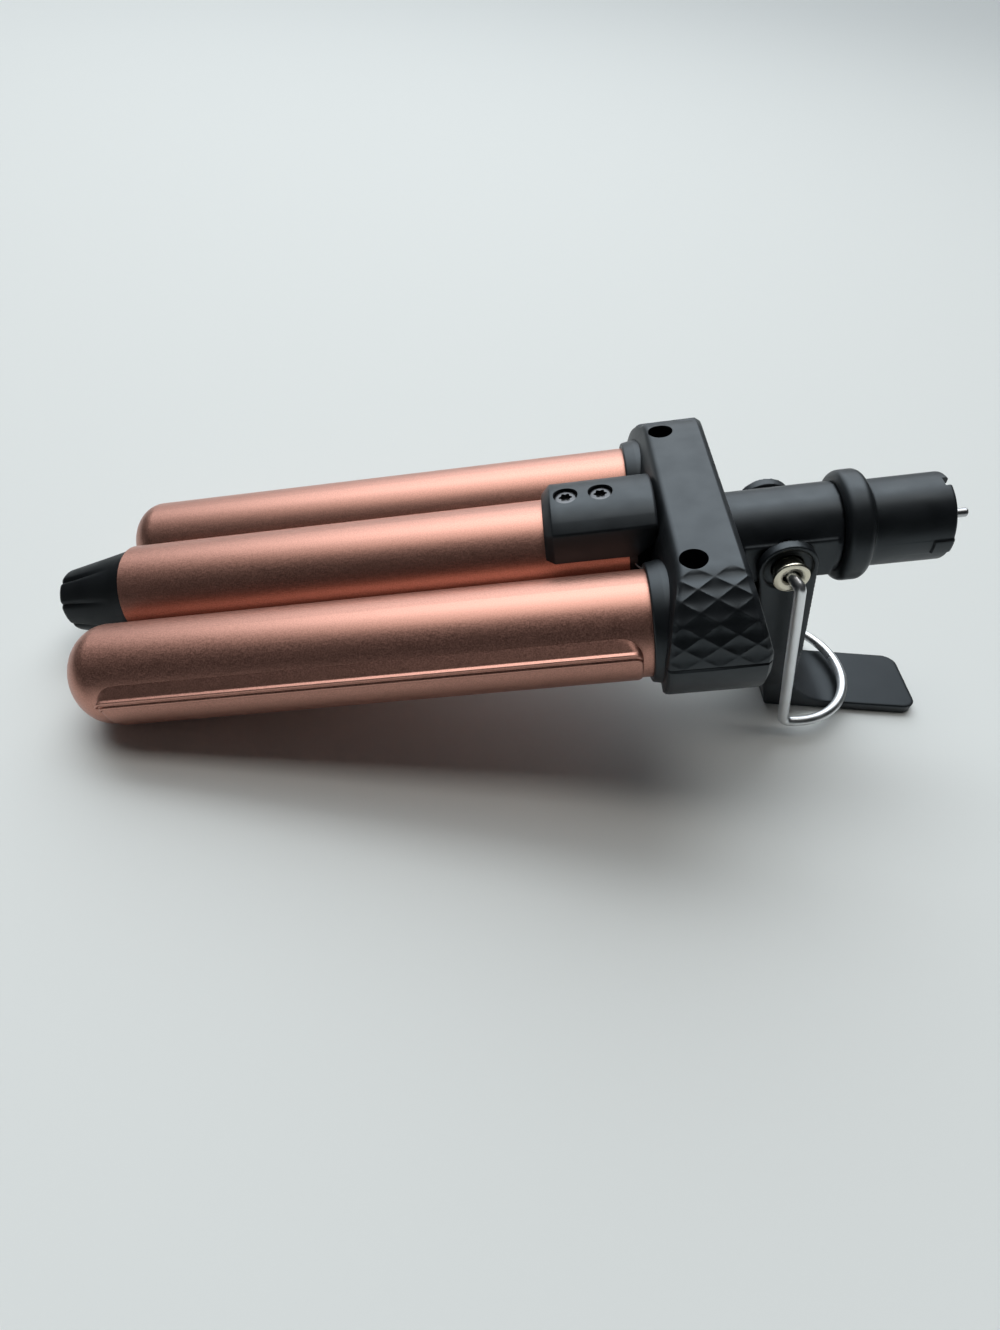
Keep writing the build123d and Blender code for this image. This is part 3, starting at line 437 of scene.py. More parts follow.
def yokeFrontX(z):
    # The foot's x, plus the lean times the height, plus the curve times the squared height above the knee.
    bow = yoke["curve"] * np.clip(z - yoke["knee"], 0, None) ** 2
    return yoke["face"] + yoke["lean"] * np.clip(z, 0, None) + bow


def yokeRearX(z):
    # The rear's x less an even lean above the knee.
    return yoke["rear"] - yoke["rearLean"] * np.clip((z - yoke["rearKnee"]) / yoke["rearHeight"], 0, None)


def quarterArch(share):
    # The rise of a quarter circle: one minus the root of one minus the square of the share.
    return 1 - np.sqrt(1 - np.clip(share, 0, 1) ** 2)


def collarCutter(hand):
    # A cylinder about the outer barrel's axis.
    seat, y = yoke["collarSeat"], hand * layout["pitch"]
    return cylinder((seat["from"], y, 0), (seat["to"], y, 0), seat["radius"], 96)


def neckCutter():
    # A cylinder about the neck's axis.
    seat, z = yoke["neckSeat"], layout["neckZ"]
    return cylinder((seat["from"], 0, z), (seat["to"], 0, z), seat["radius"], 96)


def makeYokeUpper():
    # Over the place from front to back and the turn about a round end's axis, seam to top: the radius less
    # the facets' depth, mirrored to the other end, with straight lines across the top.
    arcSteps, flatSteps, bodySteps = 132, 40, 104
    edge, middle, pitch = yoke["frontEdge"], yoke["middle"], layout["pitch"]
    seam = yoke["split"] + yoke["seam"]
    bend = np.radians((0, 22, 45, 68, 90))
    rear = yoke["upperRear"]
    # Each row: (past the front, past the rear, set in, share of the way from front to rear).
    rows = np.concatenate([
        np.stack([edge * (1 - np.cos(bend)), 0 * bend, edge * (1 - np.sin(bend)), 0 * bend], 1),
        [(edge, rear[0][0], 0.0, share) for share in np.linspace(0, 1, bodySteps + 1)[1:-1]],
        [(0.0, past, inset, 1.0) for past, inset in rear],
    ])
    pastFront, pastRear, inset, share = rows.T[:, :, None]
    radius = yoke["radius"] - inset
    angles = np.linspace(np.arcsin((seam - middle) / radius)[:, 0], math.pi / 2, arcSteps + 1, axis=1)
    height = middle + radius * np.sin(angles)
    x = (yokeFrontX(height) + pastFront) * (1 - share) + (yokeRearX(height) + pastRear) * share
    skin = radius - facetDepth(x, np.degrees(angles)) * (inset < yoke["facetInset"])
    skin[:, 0] -= yoke["seamRound"]
    out, up = pitch + skin * np.cos(angles), middle + skin * np.sin(angles)
    up[:, 0] = seam
    flatY = np.linspace(-pitch, pitch, flatSteps + 1)[None, 1:-1]
    level = np.ones_like(flatY)
    rings = np.stack([
        np.hstack([x, x[:, -1:] * level, x[:, ::-1]]),
        np.hstack([-out, np.repeat(flatY, len(x), 0), out[:, ::-1]]),
        np.hstack([up, up[:, -1:] * level, up[:, ::-1]]),
    ], -1)
    count, columns = rings.shape[:2]
    faces = gridFaces(count, columns, wrapColumns=True)
    faces += stripFaces(0, columns, arcSteps) + stripFaces((count - 1) * columns, columns, arcSteps)
    piece = makePiece("yokeUpperShell", rings.reshape(-1, 3), faces, yoke["sharp"])
    hole, recess = yoke["screwHole"], yoke["recess"]
    cutters = []
    for _, hand in hands:
        x, y = hole["x"], hand * hole["y"]
        cutters += [collarCutter(hand), cylinder((x, y, hole["from"]), (x, y, hole["to"]), hole["radius"])]
    outline = [(x, -recess["half"], z) for x, z in recess["outline"]]
    cutters += [neckCutter(), prism(outline, (0, 2 * recess["half"], 0))]
    return cut(piece, cutters, yoke["sharp"])


def makeYokeLower(name, hand):
    # Over the place from front to back and the way round the section: from the seam round the end's axis,
    # along the floor and up the inner wall. The floor rises by a quarter circle at the front and a larger one
    # at the rear, and the front is drawn forward to the upper shell's by the squared share of the way out.
    arcSteps, flatSteps = 48, 14
    front, edge, middle, reach = yoke["front"], yoke["frontEdge"], yoke["middle"], yoke["rearReach"]
    seam = yoke["split"] - yoke["seam"]
    roundEnd, turnIn = front + yoke["frontRound"], yoke["rear"] - reach
    past, rearInset = np.array(yoke["lowerRear"]).T
    bend = np.radians((0, 30, 60, 90))
    sweep = np.linspace(0, math.asin(1 + past[0] / reach), 14)[1:-1]
    x = np.concatenate([
        front + edge * (1 - np.cos(bend)),
        np.linspace(front + edge, roundEnd, 5)[1:],
        np.linspace(roundEnd, turnIn, 10)[1:],
        turnIn + reach * np.sin(sweep),
        yoke["rear"] + past,
    ])
    inset = np.zeros_like(x)
    inset[:len(bend)], inset[-len(past):] = edge * (1 - np.sin(bend)), rearInset
    radius = yoke["radius"] - inset
    bottom = middle - yoke["radius"] + inset + yoke["rearRise"] * quarterArch((x - turnIn) / reach)
    bottom += yoke["frontRise"] * quarterArch(1 - (x - front) / yoke["frontRound"])
    start = np.arcsin((seam - middle) / radius)
    end = np.arcsin(np.maximum((bottom - middle) / radius, -1))
    angles = np.linspace(start, end, arcSteps + 1, axis=1)
    skin = np.repeat(radius[:, None], arcSteps + 1, 1)
    skin[:, 0] -= yoke["seamRound"]
    out, up = layout["pitch"] + skin * np.cos(angles), middle + skin * np.sin(angles)
    up[:, 0] = seam
    wall = np.ones((len(x), 1))
    flatY = np.linspace(out[:, -1], yoke["slotHalf"], flatSteps + 1, axis=1)[:, 1:]
    ringY = np.hstack([out, flatY, wall * yoke["slotHalf"]])
    ringZ = np.hstack([up, np.repeat(up[:, -1:], flatSteps, 1), wall * seam])
    follow = np.clip((ringY - yoke["pull"][0]) / yoke["pull"][1], 0, 1) ** 2
    share = np.clip((turnIn - x) / (turnIn - front), 0, 1)[:, None]
    ringX = x[:, None] + (yokeFrontX(seam) - front) * share * follow
    rings = np.stack([ringX, hand * ringY, ringZ], -1)
    piece = makePiece(name, rings.reshape(-1, 3), cappedFaces(*rings.shape[:2]), yoke["sharp"])
    return cut(piece, [collarCutter(hand), neckCutter()], yoke["sharp"])


place(makeYokeUpper(), "head", "charcoal_plastic", "yoke_upper_shell")
for handName, hand in hands:
    lower = makeYokeLower(f"lowerCover_{handName}", hand)
    place(lower, "head", "charcoal_plastic", f"lower_cover_{handName}")
print("yoke made")

collar = {
    "outline": [(5.0, 12.55), (0.0, 12.55), (0.0, 13.75), (2.9, 14.3), (5.0, 14.3)],  # (x, radius)
    "radii": (0.15, 0.5, 2.0),
    "steps": 128,
    "sharp": 40.0,
}


def makeCollar(name, hand):
    # A rounded outline turned about the outer barrel's axis.
    x, radius = rounded(collar["outline"], collar["radii"]).T
    shape = turned(x, radius, collar["steps"], center=(0.0, hand * layout["pitch"], 0.0), loop=True)
    return makePiece(name, *shape, collar["sharp"])


plate = {
    "front": -130.3,
    "rear": -2.3,
    "bottom": -95.0,  # degrees about the barrel
    "bend": 2.0,  # degrees where the upper edge begins
    "skin": 13.05,  # outer radius
    "foot": 12.52,  # radius of the rim at both ends
    "inner": 12.48,
    # The upper edge as (out, up) from the barrel's axis: a step, a groove, a ledge and a slope to the barrel.
    "edge": [(13.02, 1.25), (13.62, 1.85), (13.55, 2.35), (13.12, 2.75), (13.25, 3.35), (14.05, 4.0),
             (14.0, 4.68), (13.15, 4.66), (10.60, 6.62)],
    "edgeRadii": (0.3, 0.2, 0.2, 0.25, 0.2, 0.2, 0.25, 0.5),
    # How far the corners round the edge off: (distance back along the section, mm), (radius, mm).
    "cornerAt": (14.0, 7.0, 3.1, 0.0),
    "cornerRadius": (0.0, 1.8, 2.6, 5.4),
    "endRound": 1.2,  # over this length the sheet swells from the rim to its full height
    "fine": 9.0,  # length of the section, back from its edge, with close points
    "sharp": 50.0,
}


def plateSection():
    # The outer line of the section, first along the barrel from below, then over the edge.
    turn = np.radians(np.linspace(plate["bottom"], plate["bend"], 40))
    arc = plate["skin"] * np.stack([np.cos(turn), np.sin(turn)], 1)
    return np.concatenate([arc[:-1], rounded([arc[-1], *plate["edge"]], plate["edgeRadii"], 5)])


def makePlate(name, hand):
    # Over the station along the barrel and the distance along the section: the section's radius, swollen from
    # the rim as a quarter circle, at its angle less the corner's dip. The dip turns the whole edge down, so
    # that the groove and the lip follow the corner. The sheet's inner side runs back at the same angles.
    section = plateSection()
    along = np.concatenate([[0], np.cumsum(np.linalg.norm(np.diff(section, axis=0), axis=1))])
    total, corner, length = along[-1], max(plate["cornerRadius"]), plate["rear"] - plate["front"]
    endSteps, middleSteps, wideSteps, closeSteps = 16, 24, 22, 90
    ends = corner * (1 - np.cos(np.radians(np.linspace(4, 90, endSteps))))
    between = np.linspace(corner, length - corner, middleSteps)[1:-1]
    stations = np.concatenate([ends, between, length - ends[::-1]])
    close = total - plate["fine"]
    where = np.concatenate([np.linspace(0, close, wideSteps), np.linspace(close, total, closeSteps)[1:]])
    radii = np.interp(total - where, plate["cornerAt"][::-1], plate["cornerRadius"][::-1])
    fromEnd = np.minimum(stations, length - stations)[:, None]
    dip = radii - np.sqrt(np.clip(radii**2 - (radii - np.minimum(fromEnd, radii)) ** 2, 0, None))
    flat, tall = (np.interp(where, along, column) for column in section.T)
    turn = np.arctan2(tall, flat) - dip / layout["barrelRadius"]
    swell = np.sqrt(1 - (1 - np.minimum(fromEnd / plate["endRound"], 1)) ** 2)
    skin = plate["foot"] + (np.hypot(flat, tall) - plate["foot"]) * swell
    turn = np.hstack([turn, turn[:, ::-1]])
    radius = np.hstack([skin, np.full_like(skin, plate["inner"])])
    count, columns = radius.shape
    x = np.repeat(plate["front"] + stations[:, None], columns, 1)
    spots = np.stack([x, hand * (layout["pitch"] + radius * np.cos(turn)), radius * np.sin(turn)], -1)
    faces = gridFaces(count, columns, wrapColumns=True)
    for base in (0, (count - 1) * columns):
        faces += stripFaces(base, columns, len(where) - 1)
    return makePiece(name, spots.reshape(-1, 3), faces, plate["sharp"])


for handName, hand in hands:
    place(makeCollar(f"{handName}Collar", hand), "head", "charcoal_plastic", f"{handName}_collar")
for handName, hand in hands:
    place(makePlate(f"{handName}CoverPlate", hand), "head", "rose_gold", f"{handName}_cover_plate")
print("collars and cover plates made")

clip = {
    "from": -1.6,
    "to": 0.3,
    "inner": 12.52,
    "outer": 12.95,
    "curl": 1.1,
    "curlLength": 1.2,
    "angle": 50.0,  # degrees from the inner side up
    "half": 4.5,
    "steps": 9,
}


def clipShape(hand):
    # A strip bent with the barrel: (radius cos angle, radius sin angle) at each x. Its free end curls up by
    # the power 1.5 of the share of the curl's length.
    x = np.linspace(clip["from"], clip["to"], clip["steps"])[:, None]
    curl = clip["curl"] * np.clip((clip["from"] + clip["curlLength"] - x) / clip["curlLength"], 0, 1) ** 1.5
    radius = np.array([clip["inner"], clip["inner"], clip["outer"], clip["outer"]]) + curl
    angle = np.radians(clip["angle"] + clip["half"] * np.array([-1, 1, 1, -1]))
    y = hand * (layout["pitch"] - radius * np.cos(angle))
    points = np.stack([np.repeat(x, 4, 1), y, radius * np.sin(angle)], -1)
    return points.reshape(-1, 3), cappedFaces(len(x), 4)


clips = makePiece("earthClips", *joined([clipShape(hand) for _, hand in hands]))
place(clips, "head", "bright_steel", "earth_tabs")
print("earth clips made")

block = {
    "front": -22.0,
    "rear": 4.4,
    "inner": 12.56,
    "outer": 16.0,
    "halfTop": 10.4,
    "halfFoot": 11.6,
    "halfRear": 10.1,
    "taper": 4.9,  # length at the rear where the foot narrows
    # The front's chamfer as (behind the front, set in).
    "chamfer": [(0.0, 2.35), (0.08, 2.16), (0.25, 1.85), (1.85, 0.25), (2.05, 0.08), (2.3, 0.0)],
    "rearRound": 0.8,
    "crease": 1.2,
    "skip": 5,  # points of the top that the crease's rounding takes the place of
    "topLean": 0.8,  # shares of the inset that the crease and the foot move in by
    "footLean": 0.25,
    "steps": 41,
    "screws": (-16.15, -7.9),
    "screwHole": 2.95,
    "screwDepth": 2.2,
    "sharp": 38.0,
}


def blockRing(inset, halfFoot):
    # Across the barrel: a straight foot up to a rounded crease, the top (radius sin turn, radius cos turn),
    # the same crease and foot mirrored, and back along the barrel's own circle.
    outer, halfTop = block["outer"] - inset, block["halfTop"] - inset * block["topLean"]
    foot = halfFoot - inset * block["footLean"]
    footZ = math.sqrt(max(block["inner"] ** 2 - foot**2, 0))
    span = math.asin(halfTop / outer)
    turn = np.linspace(span, -span, block["steps"])
    top = outer * np.stack([np.sin(turn), np.cos(turn)], 1)
    skip = block["skip"]
    side = rounded([(foot, footZ), top[0], top[skip]], (block["crease"],))[:-1]
    span = math.asin(min(foot / block["inner"], 1))
    turn = np.linspace(-span, span, block["steps"])[1:-1]
    inner = block["inner"] * np.stack([np.sin(turn), np.cos(turn)], 1)
    return np.concatenate([side, top[skip:-skip], side[::-1] * (-1, 1), inner])


def makeBlock():
    # Rings of that outline carried along the barrel, set in at the front's chamfer and the rear's rounding.
    front, rear, rise = block["front"], block["rear"], layout["centerRise"]
    back, chamfer = np.array(block["chamfer"]).T
    bend = np.radians((30, 60, 90))
    taperFrom, rearRound = rear - block["taper"], block["rearRound"]
    x = np.concatenate([
        front + back,
        np.linspace(front + back[-1], taperFrom, 10)[1:],
        np.linspace(taperFrom, rear - rearRound, 5)[1:],
        rear - rearRound * (1 - np.sin(bend)),
    ])
    inset = np.zeros_like(x)
    inset[:len(back)], inset[-len(bend):] = chamfer, rearRound * (1 - np.cos(bend))
    taper = np.clip((x - taperFrom) / block["taper"], 0, 1)
    half = block["halfFoot"] + (block["halfRear"] - block["halfFoot"]) * taper
    rings = np.stack([blockRing(*sizes) for sizes in zip(inset, half)]) + (0, rise)
    count, columns = rings.shape[:2]
    spots = np.concatenate([np.repeat(x[:, None, None], columns, 1), rings], 2)
    piece = makePiece("clampBlock", spots.reshape(-1, 3), cappedFaces(count, columns), block["sharp"])
    top = rise + block["outer"]
    holes = [cylinder((x, 0, top - block["screwDepth"]), (x, 0, top + 3), block["screwHole"])
             for x in block["screws"]]
    return cut(piece, holes, block["sharp"])


screw = {
    "sink": 0.75,  # top of the head below the block's top
    "steps": 72,
    "foot": -8.2,
    "outline": [(1.45, -8.2), (1.45, -1.45), (2.85, -1.45), (2.85, -0.5), (2.70, -0.22), (2.30, -0.06),
                (1.90, 0.0)],  # (radius, up)
    "socket": 1.30,
    "lobe": 0.22,
    "lobes": 6,
    "socketRings": [(1.0, 0.10, 0.0), (1.0, 0.0, -0.10), (0.96, 0.0, -1.1)],  # (share, more, up)
    "socketFloor": -1.25,
}


def screwShape(x):
    # A shank and a button head turned about the upright axis. The socket's radius waves with the cosine of
    # the lobes' number times the turn.
    radius, up = np.array(screw["outline"]).T
    share, more, socketUp = np.array(screw["socketRings"]).T
    wave = screw["socket"] + screw["lobe"] * np.cos(screw["lobes"] * fullTurn(screw["steps"]))
    closed = 0 * wave
    radii = np.vstack([closed, radius[:, None] + closed, share[:, None] * wave + more[:, None], closed])
    along = np.concatenate([[screw["foot"]], up, socketUp, [screw["socketFloor"]]])
    top = layout["centerRise"] + block["outer"] - screw["sink"]
    return turned(along, radii, screw["steps"], axis=2, center=(x, 0.0, top))


place(makeBlock(), "lever", "charcoal_plastic", "clamp_block")
screws = makePiece("clampScrews", *joined([screwShape(x) for x in block["screws"]]))
place(screws, "lever", "steel", "clamp_screws", finish="steel_blackened")
print("clamp block and its screws made")

tip = {
    "back": -130.0,
    "length": 19.4,
    "root": 12.0,
    "spigot": (7.0, 11.0),  # length and radius inside the barrel
    "shoulder": 11.35,
    "shoulderAt": 2.8,
    "shoulderRound": 3.0,
    "end": 8.0,
    "endRound": 1.5,
    "lobes": 8,
    "turn": 12.0,  # degrees of the first groove
    "groove": 0.62,
    "grooveWidth": 0.16,  # share of a lobe
    "grooveFrom": 4.0,  # the groove starts this far from the barrel and is full after the run
    "grooveRun": 11.0,
    "innerFade": (3.0, 4.0),  # radius where the groove begins, and the width that it deepens over
    "smallest": 1.0,  # the front's rings stop short of this radius
    "gap": 0.8,  # between rings
    "steps": 240,
    "sharp": 34.0,
}


def makeTip():
    # Rings from inside the barrel to the front. The radius dips by the groove's depth times the power 1.5 of
    # how near the groove's middle is, faded out towards the barrel and the front's centre.
    back, front = tip["back"], tip["back"] - tip["length"]
    shoulder = (back - tip["shoulderAt"], tip["shoulder"])
    corners = [(back, tip["root"]), shoulder, (front, tip["end"]), (front, 0.0)]
    line = rounded(corners, (tip["shoulderRound"], tip["endRound"]), 10)
    line[-1] = front, tip["smallest"]
    depth, inside = tip["spigot"]
    spigot = [(back + depth, 0.0), (back + depth, inside), (back, inside)]
    x, radius = np.concatenate([spigot, refined(line, tip["gap"])[:-1], [(front, 0.0)]]).T[:, :, None]
    phase = ((fullTurn(tip["steps"]) - math.radians(tip["turn"])) * tip["lobes"] / (2 * math.pi)) % 1.0
    notch = np.clip(1 - np.minimum(phase, 1 - phase) / tip["grooveWidth"], 0, 1) ** 1.5
    fade = np.clip((back - x - tip["grooveFrom"]) / tip["grooveRun"], 0, 1)
    fade = fade * np.clip((radius - tip["innerFade"][0]) / tip["innerFade"][1], 0, 1)
    radii = radius - tip["groove"] * notch * fade
    shape = turned(x[:, 0], radii, tip["steps"], center=(0.0, 0.0, layout["centerRise"]))
    return makePiece("coolTip", *shape, tip["sharp"])


place(makeTip(), "lever", "black_plastic", "cool_tip")
print("cool tip made")

eyelet = {
    # (distance from the middle, radius)
    "outline": [(15.0, 1.65), (8.0, 1.6), (8.0, 2.4), (8.4, 2.4), (8.4, 3.6), (15.9, 3.6), (16.2, 4.3),
                (16.75, 4.15), (17.0, 3.2), (16.75, 2.15), (16.2, 1.75), (15.0, 1.65)],
    "radii": (0, 0, 0, 0, 0.2, 0.2, 0.35, 0.5, 0.4, 0.3),
    "steps": 64,
    "sharp": 40.0,
}


def eyeletShape(hand):
    # A bush with a rolled lip, its outline turned about the pivot.
    distance, radius = rounded(eyelet["outline"], eyelet["radii"], 4)[:-1].T
    return turned(hand * distance, radius, eyelet["steps"], axis=1, center=layout["pivot"], loop=True)


eyelets = makePiece("pivotEyelets", *joined([eyeletShape(hand) for _, hand in hands]), eyelet["sharp"])
place(eyelets, "head", "nickel", "pivot_eyelets")
print("eyelets made")

wire = {
    "radius": 1.4,
    "leg": [(34.4, 9.0, 1.6), (34.5, 15.6, 1.6), (36.1, 18.7, 0.0), (38.4, 19.8, -49.4)],
    "bends": (2.2, 1.8, 2.6),
    "slope": 10.6,  # degrees of the foot below the head's x
    "straight": 2.5,
    "reach": 22.2,
    "gap": 2.0,  # between rings
    "sides": 24,
    "dome": 0.4,
    "sharp": 60.0,
}


def makeWire():
    # One bent rod: down a leg, round the foot as half an ellipse that slopes to the table, and up the other:
    # the foot's start plus the reach times the sine of the turn, and the half width times its cosine.
    slope, corner = math.radians(wire["slope"]), np.array(wire["leg"][-1])
    forward = np.array([math.cos(slope), 0, -math.sin(slope)])
    start = corner + forward * wire["straight"]
    leg = rounded([*wire["leg"], start], wire["bends"], 10)
    turn = np.linspace(0, math.pi, 61)[1:-1, None]
    foot = start * (1, 0, 1) + forward * (wire["reach"] - wire["straight"]) * np.sin(turn)
    foot = foot + corner * (0, 1, 0) * np.cos(turn)
    path = refined(np.concatenate([leg, foot, (leg * (1, -1, 1))[::-1]]), wire["gap"])
    return makePiece("wireStand", *tube(path, wire["radius"], wire["sides"], wire["dome"]), wire["sharp"])


place(makeWire(), "stand", "bright_steel", "wire_stand")
print("wire rest made")

connector = {
    "front": 47.5,
    "flange": 13.4,
    "flangeEnd": 54.0,
    "radius": 10.45,
    "end": 72.6,
    "bore": 8.6,
    "boreEnd": 61.6,
    "neck": 6.95,
    "neckEnd": 50.0,
    "hole": 6.0,
    "radii": (2.0, 2.0, 1.2, 0, 0, 0.8, 0.3, 0, 0, 0, 0),
    "steps": 256,
    "lug": 67.8,  # x of the lugs' front edge
    "lugStep": 0.4,
    "lugHeight": 0.5,
    "lugTurn": 5.0,  # degrees below the middle
    "lugHalf": 11.0,
    "lugRound": 2.0,  # degrees that the lug rises over
    "lugSkin": 0.8,  # only points this far outside the bore move
    "notch": {"turn": 93.5, "half": 1.35, "depth": 1.6, "from": 7.5, "to": 12.0},
    "sharp": 36.0,
}


def raiseLugs(points):
    # Behind the lug's front edge the outer skin is scaled out where the turn is near either side.
    c = connector
    tall = points[:, 2] - layout["neckZ"]
    radius = np.hypot(points[:, 1], tall)
    turn = np.degrees(np.arctan2(tall, np.abs(points[:, 1])))
    rise = np.clip((c["lugHalf"] - np.abs(turn + c["lugTurn"])) / c["lugRound"], 0, 1)
    rise = rise * (points[:, 0] > c["lug"] + c["lugStep"] / 2) * (radius > c["bore"] + c["lugSkin"])
    scale = 1 + c["lugHeight"] * rise / np.maximum(radius, 1)
    return np.stack([points[:, 0], points[:, 1] * scale, layout["neckZ"] + tall * scale], 1)


def makeConnector():
    # A stepped tube turned about the neck's axis, with two low lugs and one notch in its rear rim.
    c, neckZ = connector, layout["neckZ"]
    outline = [
        (c["front"], c["hole"]), (c["front"], c["flange"]), (c["flangeEnd"], c["flange"]),
        (c["flangeEnd"], c["radius"]), (c["lug"], c["radius"]), (c["lug"] + c["lugStep"], c["radius"]),
        (c["end"], c["radius"]), (c["end"], c["bore"]), (c["boreEnd"], c["bore"]), (c["boreEnd"], c["neck"]),
        (c["neckEnd"], c["neck"]), (c["neckEnd"], c["hole"]), (c["front"], c["hole"]),
    ]
    x, radius = rounded(outline, c["radii"], 8)[:-1].T
    points, faces = turned(x, radius, c["steps"], center=(0.0, 0.0, neckZ), loop=True)
    piece = makePiece("connectorBody", raiseLugs(points), faces, c["sharp"])
    notch = c["notch"]
    angle = math.radians(notch["turn"])
    outward = np.array([0.0, math.cos(angle), math.sin(angle)])
    sideways = np.array([0.0, -math.sin(angle), math.cos(angle)])
    start = np.array([c["end"] - notch["depth"], 0.0, neckZ])
    sides = [(notch["from"], -1), (notch["to"], -1), (notch["to"], 1), (notch["from"], 1)]
    outline = [start + outward * out + sideways * side * notch["half"] for out, side in sides]
    return cut(piece, [prism(outline, (notch["depth"] + 1, 0, 0))], c["sharp"])


place(makeConnector(), "head", "charcoal_plastic", "connector_body")
print("connector made")

# The CAD nodes that are shown as they are.
carried = {
    "sharp": 30.0,
    "finish": {"contact_pins": "steel"},  # where it isn't the slot's own
    "softened": {"lever": (0.00035, 4), "neck_tube": (0.00035, 7)},  # voxel size in metres, smoothing steps
    "smoothing": 0.5,
}
for entry in frame["record"]["subparts"]:
    name = entry["node"]
    if name in replacedNodes:
        continue
    node = nodes[name]
    node.data.materials.clear()
    node.data.materials.append(finishes[carried["finish"].get(name, entry["material_slot"])])
    node.data.shade_smooth()
    node.data.set_sharp_from_angle(angle=math.radians(carried["sharp"]))
    if name in carried["softened"]:
        voxel, steps = carried["softened"][name]
        remesh = node.modifiers.new("remesh", "REMESH")
        remesh.mode = "VOXEL"
        remesh.voxel_size = voxel
        remesh.use_smooth_shade = True
        smooth = node.modifiers.new("smooth", "SMOOTH")
        smooth.factor = carried["smoothing"]
        smooth.iterations = steps
print("nodes finished")

camera = {
    "eye": (-16.5466, -148.159, 125.1829),  # mm, head axes, above the near barrel
    "azimuth": -0.15529,  # radians
    "elevation": 0.825737,
    "roll": 0.205589,
    "lens": 20.17,
    "sensor": 36.0,
    "clip": (0.01, 20.0),
}


def makeCamera():
    # The view direction and its right-hand side from the two angles, then both turned by the roll.
    azimuth, elevation, roll = camera["azimuth"], camera["elevation"], camera["roll"]
    level = np.array([math.sin(azimuth), math.cos(azimuth), 0.0])
    forward = level * math.cos(elevation) - (0.0, 0.0, math.sin(elevation))
    right = np.array([math.cos(azimuth), -math.sin(azimuth), 0.0])
    down = np.cross(forward, right)
    rolledRight = math.cos(roll) * right + math.sin(roll) * down
    rolledDown = -math.sin(roll) * right + math.cos(roll) * down
    data = bpy.data.cameras.new("camera")
    data.lens = camera["lens"]
    data.sensor_width = camera["sensor"]
    data.sensor_fit = "AUTO"
    data.clip_start, data.clip_end = camera["clip"]
    holder = bpy.data.objects.new("camera", data)
    bpy.context.scene.collection.objects.link(holder)
    turn = np.eye(4)
    turn[:3, :3] = (np.stack([rolledRight, -rolledDown, -forward]) @ headAxes).T
    turn[:3, 3] = toRow(camera["eye"])
    holder.matrix_world = Matrix(turn.tolist())
    bpy.context.scene.camera = holder


makeCamera()
print("camera placed")

light = {
    "world": (0.88, 0.95, 1.0),
    "sky": (-0.05, 0.70, 0.71),  # the world is brightest this way
    "skyRange": (0.66, 1.0),
    "skyStrength": (0.03, 2.6),
    "backdrop": (0.70, 0.74, 0.74),  # only what the camera sees past the floor
    "lamps": {
        "overhead": {"direction": (-0.05, 0.075, 0.99), "color": (1.0, 0.97, 0.92),
                     "energy": 5.2, "width": 0.36},
        "rear": {"direction": (-0.10, 0.50, 0.86), "color": (0.93, 0.98, 1.0),
                 "energy": 6.0, "width": 0.42},
    },
    "length": 1.7,
    "distance": 1.6,
}
table = {"half": 3.0, "color": (0.80, 0.81, 0.79), "roughness": 0.7}


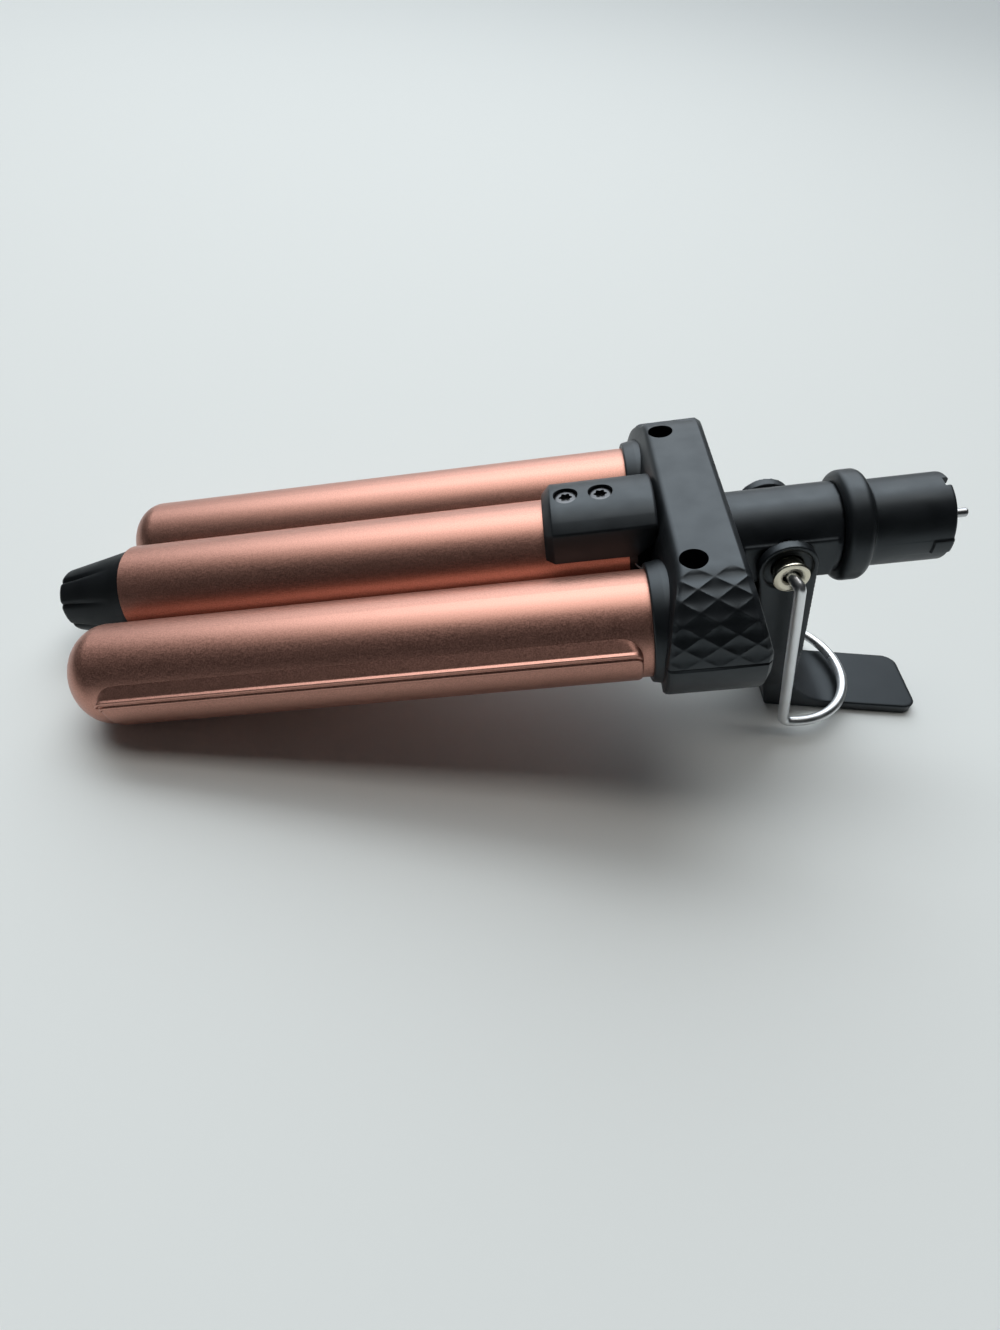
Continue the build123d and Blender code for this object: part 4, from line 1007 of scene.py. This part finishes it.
def makeWorld():
    # Strength grows smoothly with the cosine between the ray and the bright part of the room. The camera sees
    # a plain colour instead.
    world = bpy.data.worlds.new("studio")
    bpy.context.scene.world = world
    world.use_nodes = True
    tree = world.node_tree
    background = tree.nodes["Background"]
    background.inputs["Color"].default_value = (*light["world"], 1)
    coords = tree.nodes.new("ShaderNodeTexCoord")
    facing = tree.nodes.new("ShaderNodeVectorMath")
    facing.operation = "DOT_PRODUCT"
    facing.inputs[1].default_value = light["sky"]
    spread = tree.nodes.new("ShaderNodeMapRange")
    spread.interpolation_type = "SMOOTHSTEP"
    spread.inputs["From Min"].default_value, spread.inputs["From Max"].default_value = light["skyRange"]
    spread.inputs["To Min"].default_value, spread.inputs["To Max"].default_value = light["skyStrength"]
    tree.links.new(coords.outputs["Generated"], facing.inputs[0])
    tree.links.new(facing.outputs["Value"], spread.inputs["Value"])
    tree.links.new(spread.outputs["Result"], background.inputs["Strength"])
    backdrop = tree.nodes.new("ShaderNodeBackground")
    backdrop.inputs["Color"].default_value = (*light["backdrop"], 1)
    path = tree.nodes.new("ShaderNodeLightPath")
    choose = tree.nodes.new("ShaderNodeMixShader")
    tree.links.new(path.outputs["Is Camera Ray"], choose.inputs["Fac"])
    tree.links.new(background.outputs["Background"], choose.inputs[1])
    tree.links.new(backdrop.outputs["Background"], choose.inputs[2])
    tree.links.new(choose.outputs["Shader"], tree.nodes["World Output"].inputs["Surface"])


def makeLamp(name, look):
    # A long panel along x that looks at the origin from its direction.
    data = bpy.data.lights.new(name, "AREA")
    data.shape = "RECTANGLE"
    data.energy = look["energy"]
    data.color = look["color"]
    data.size = light["length"]
    data.size_y = look["width"]
    back = np.array(look["direction"]) / np.linalg.norm(look["direction"])
    side = np.cross((0, 1, 0), back)
    side /= np.linalg.norm(side)
    turn = np.eye(4)
    turn[:3] = np.stack([side, np.cross(back, side), back, back * light["distance"]], 1)
    lamp = bpy.data.objects.new(name, data)
    lamp.matrix_world = Matrix(turn.tolist())
    bpy.context.scene.collection.objects.link(lamp)


def makeFloor():
    # A plain square about the origin, its four corners at the half width.
    half = table["half"]
    mesh = bpy.data.meshes.new("floor")
    corners = [(-half, -half, 0), (half, -half, 0), (half, half, 0), (-half, half, 0)]
    mesh.from_pydata(corners, [], [(0, 1, 2, 3)])
    mesh.materials.append(newMaterial("floor", table["color"], table["roughness"])[0])
    floor = bpy.data.objects.new("floor", mesh)
    bpy.context.scene.collection.objects.link(floor)


makeWorld()
for lampName, lampLook in light["lamps"].items():
    makeLamp(lampName, lampLook)
makeFloor()
print("light and floor made")

bpy.context.scene.view_settings.view_transform = "Standard"
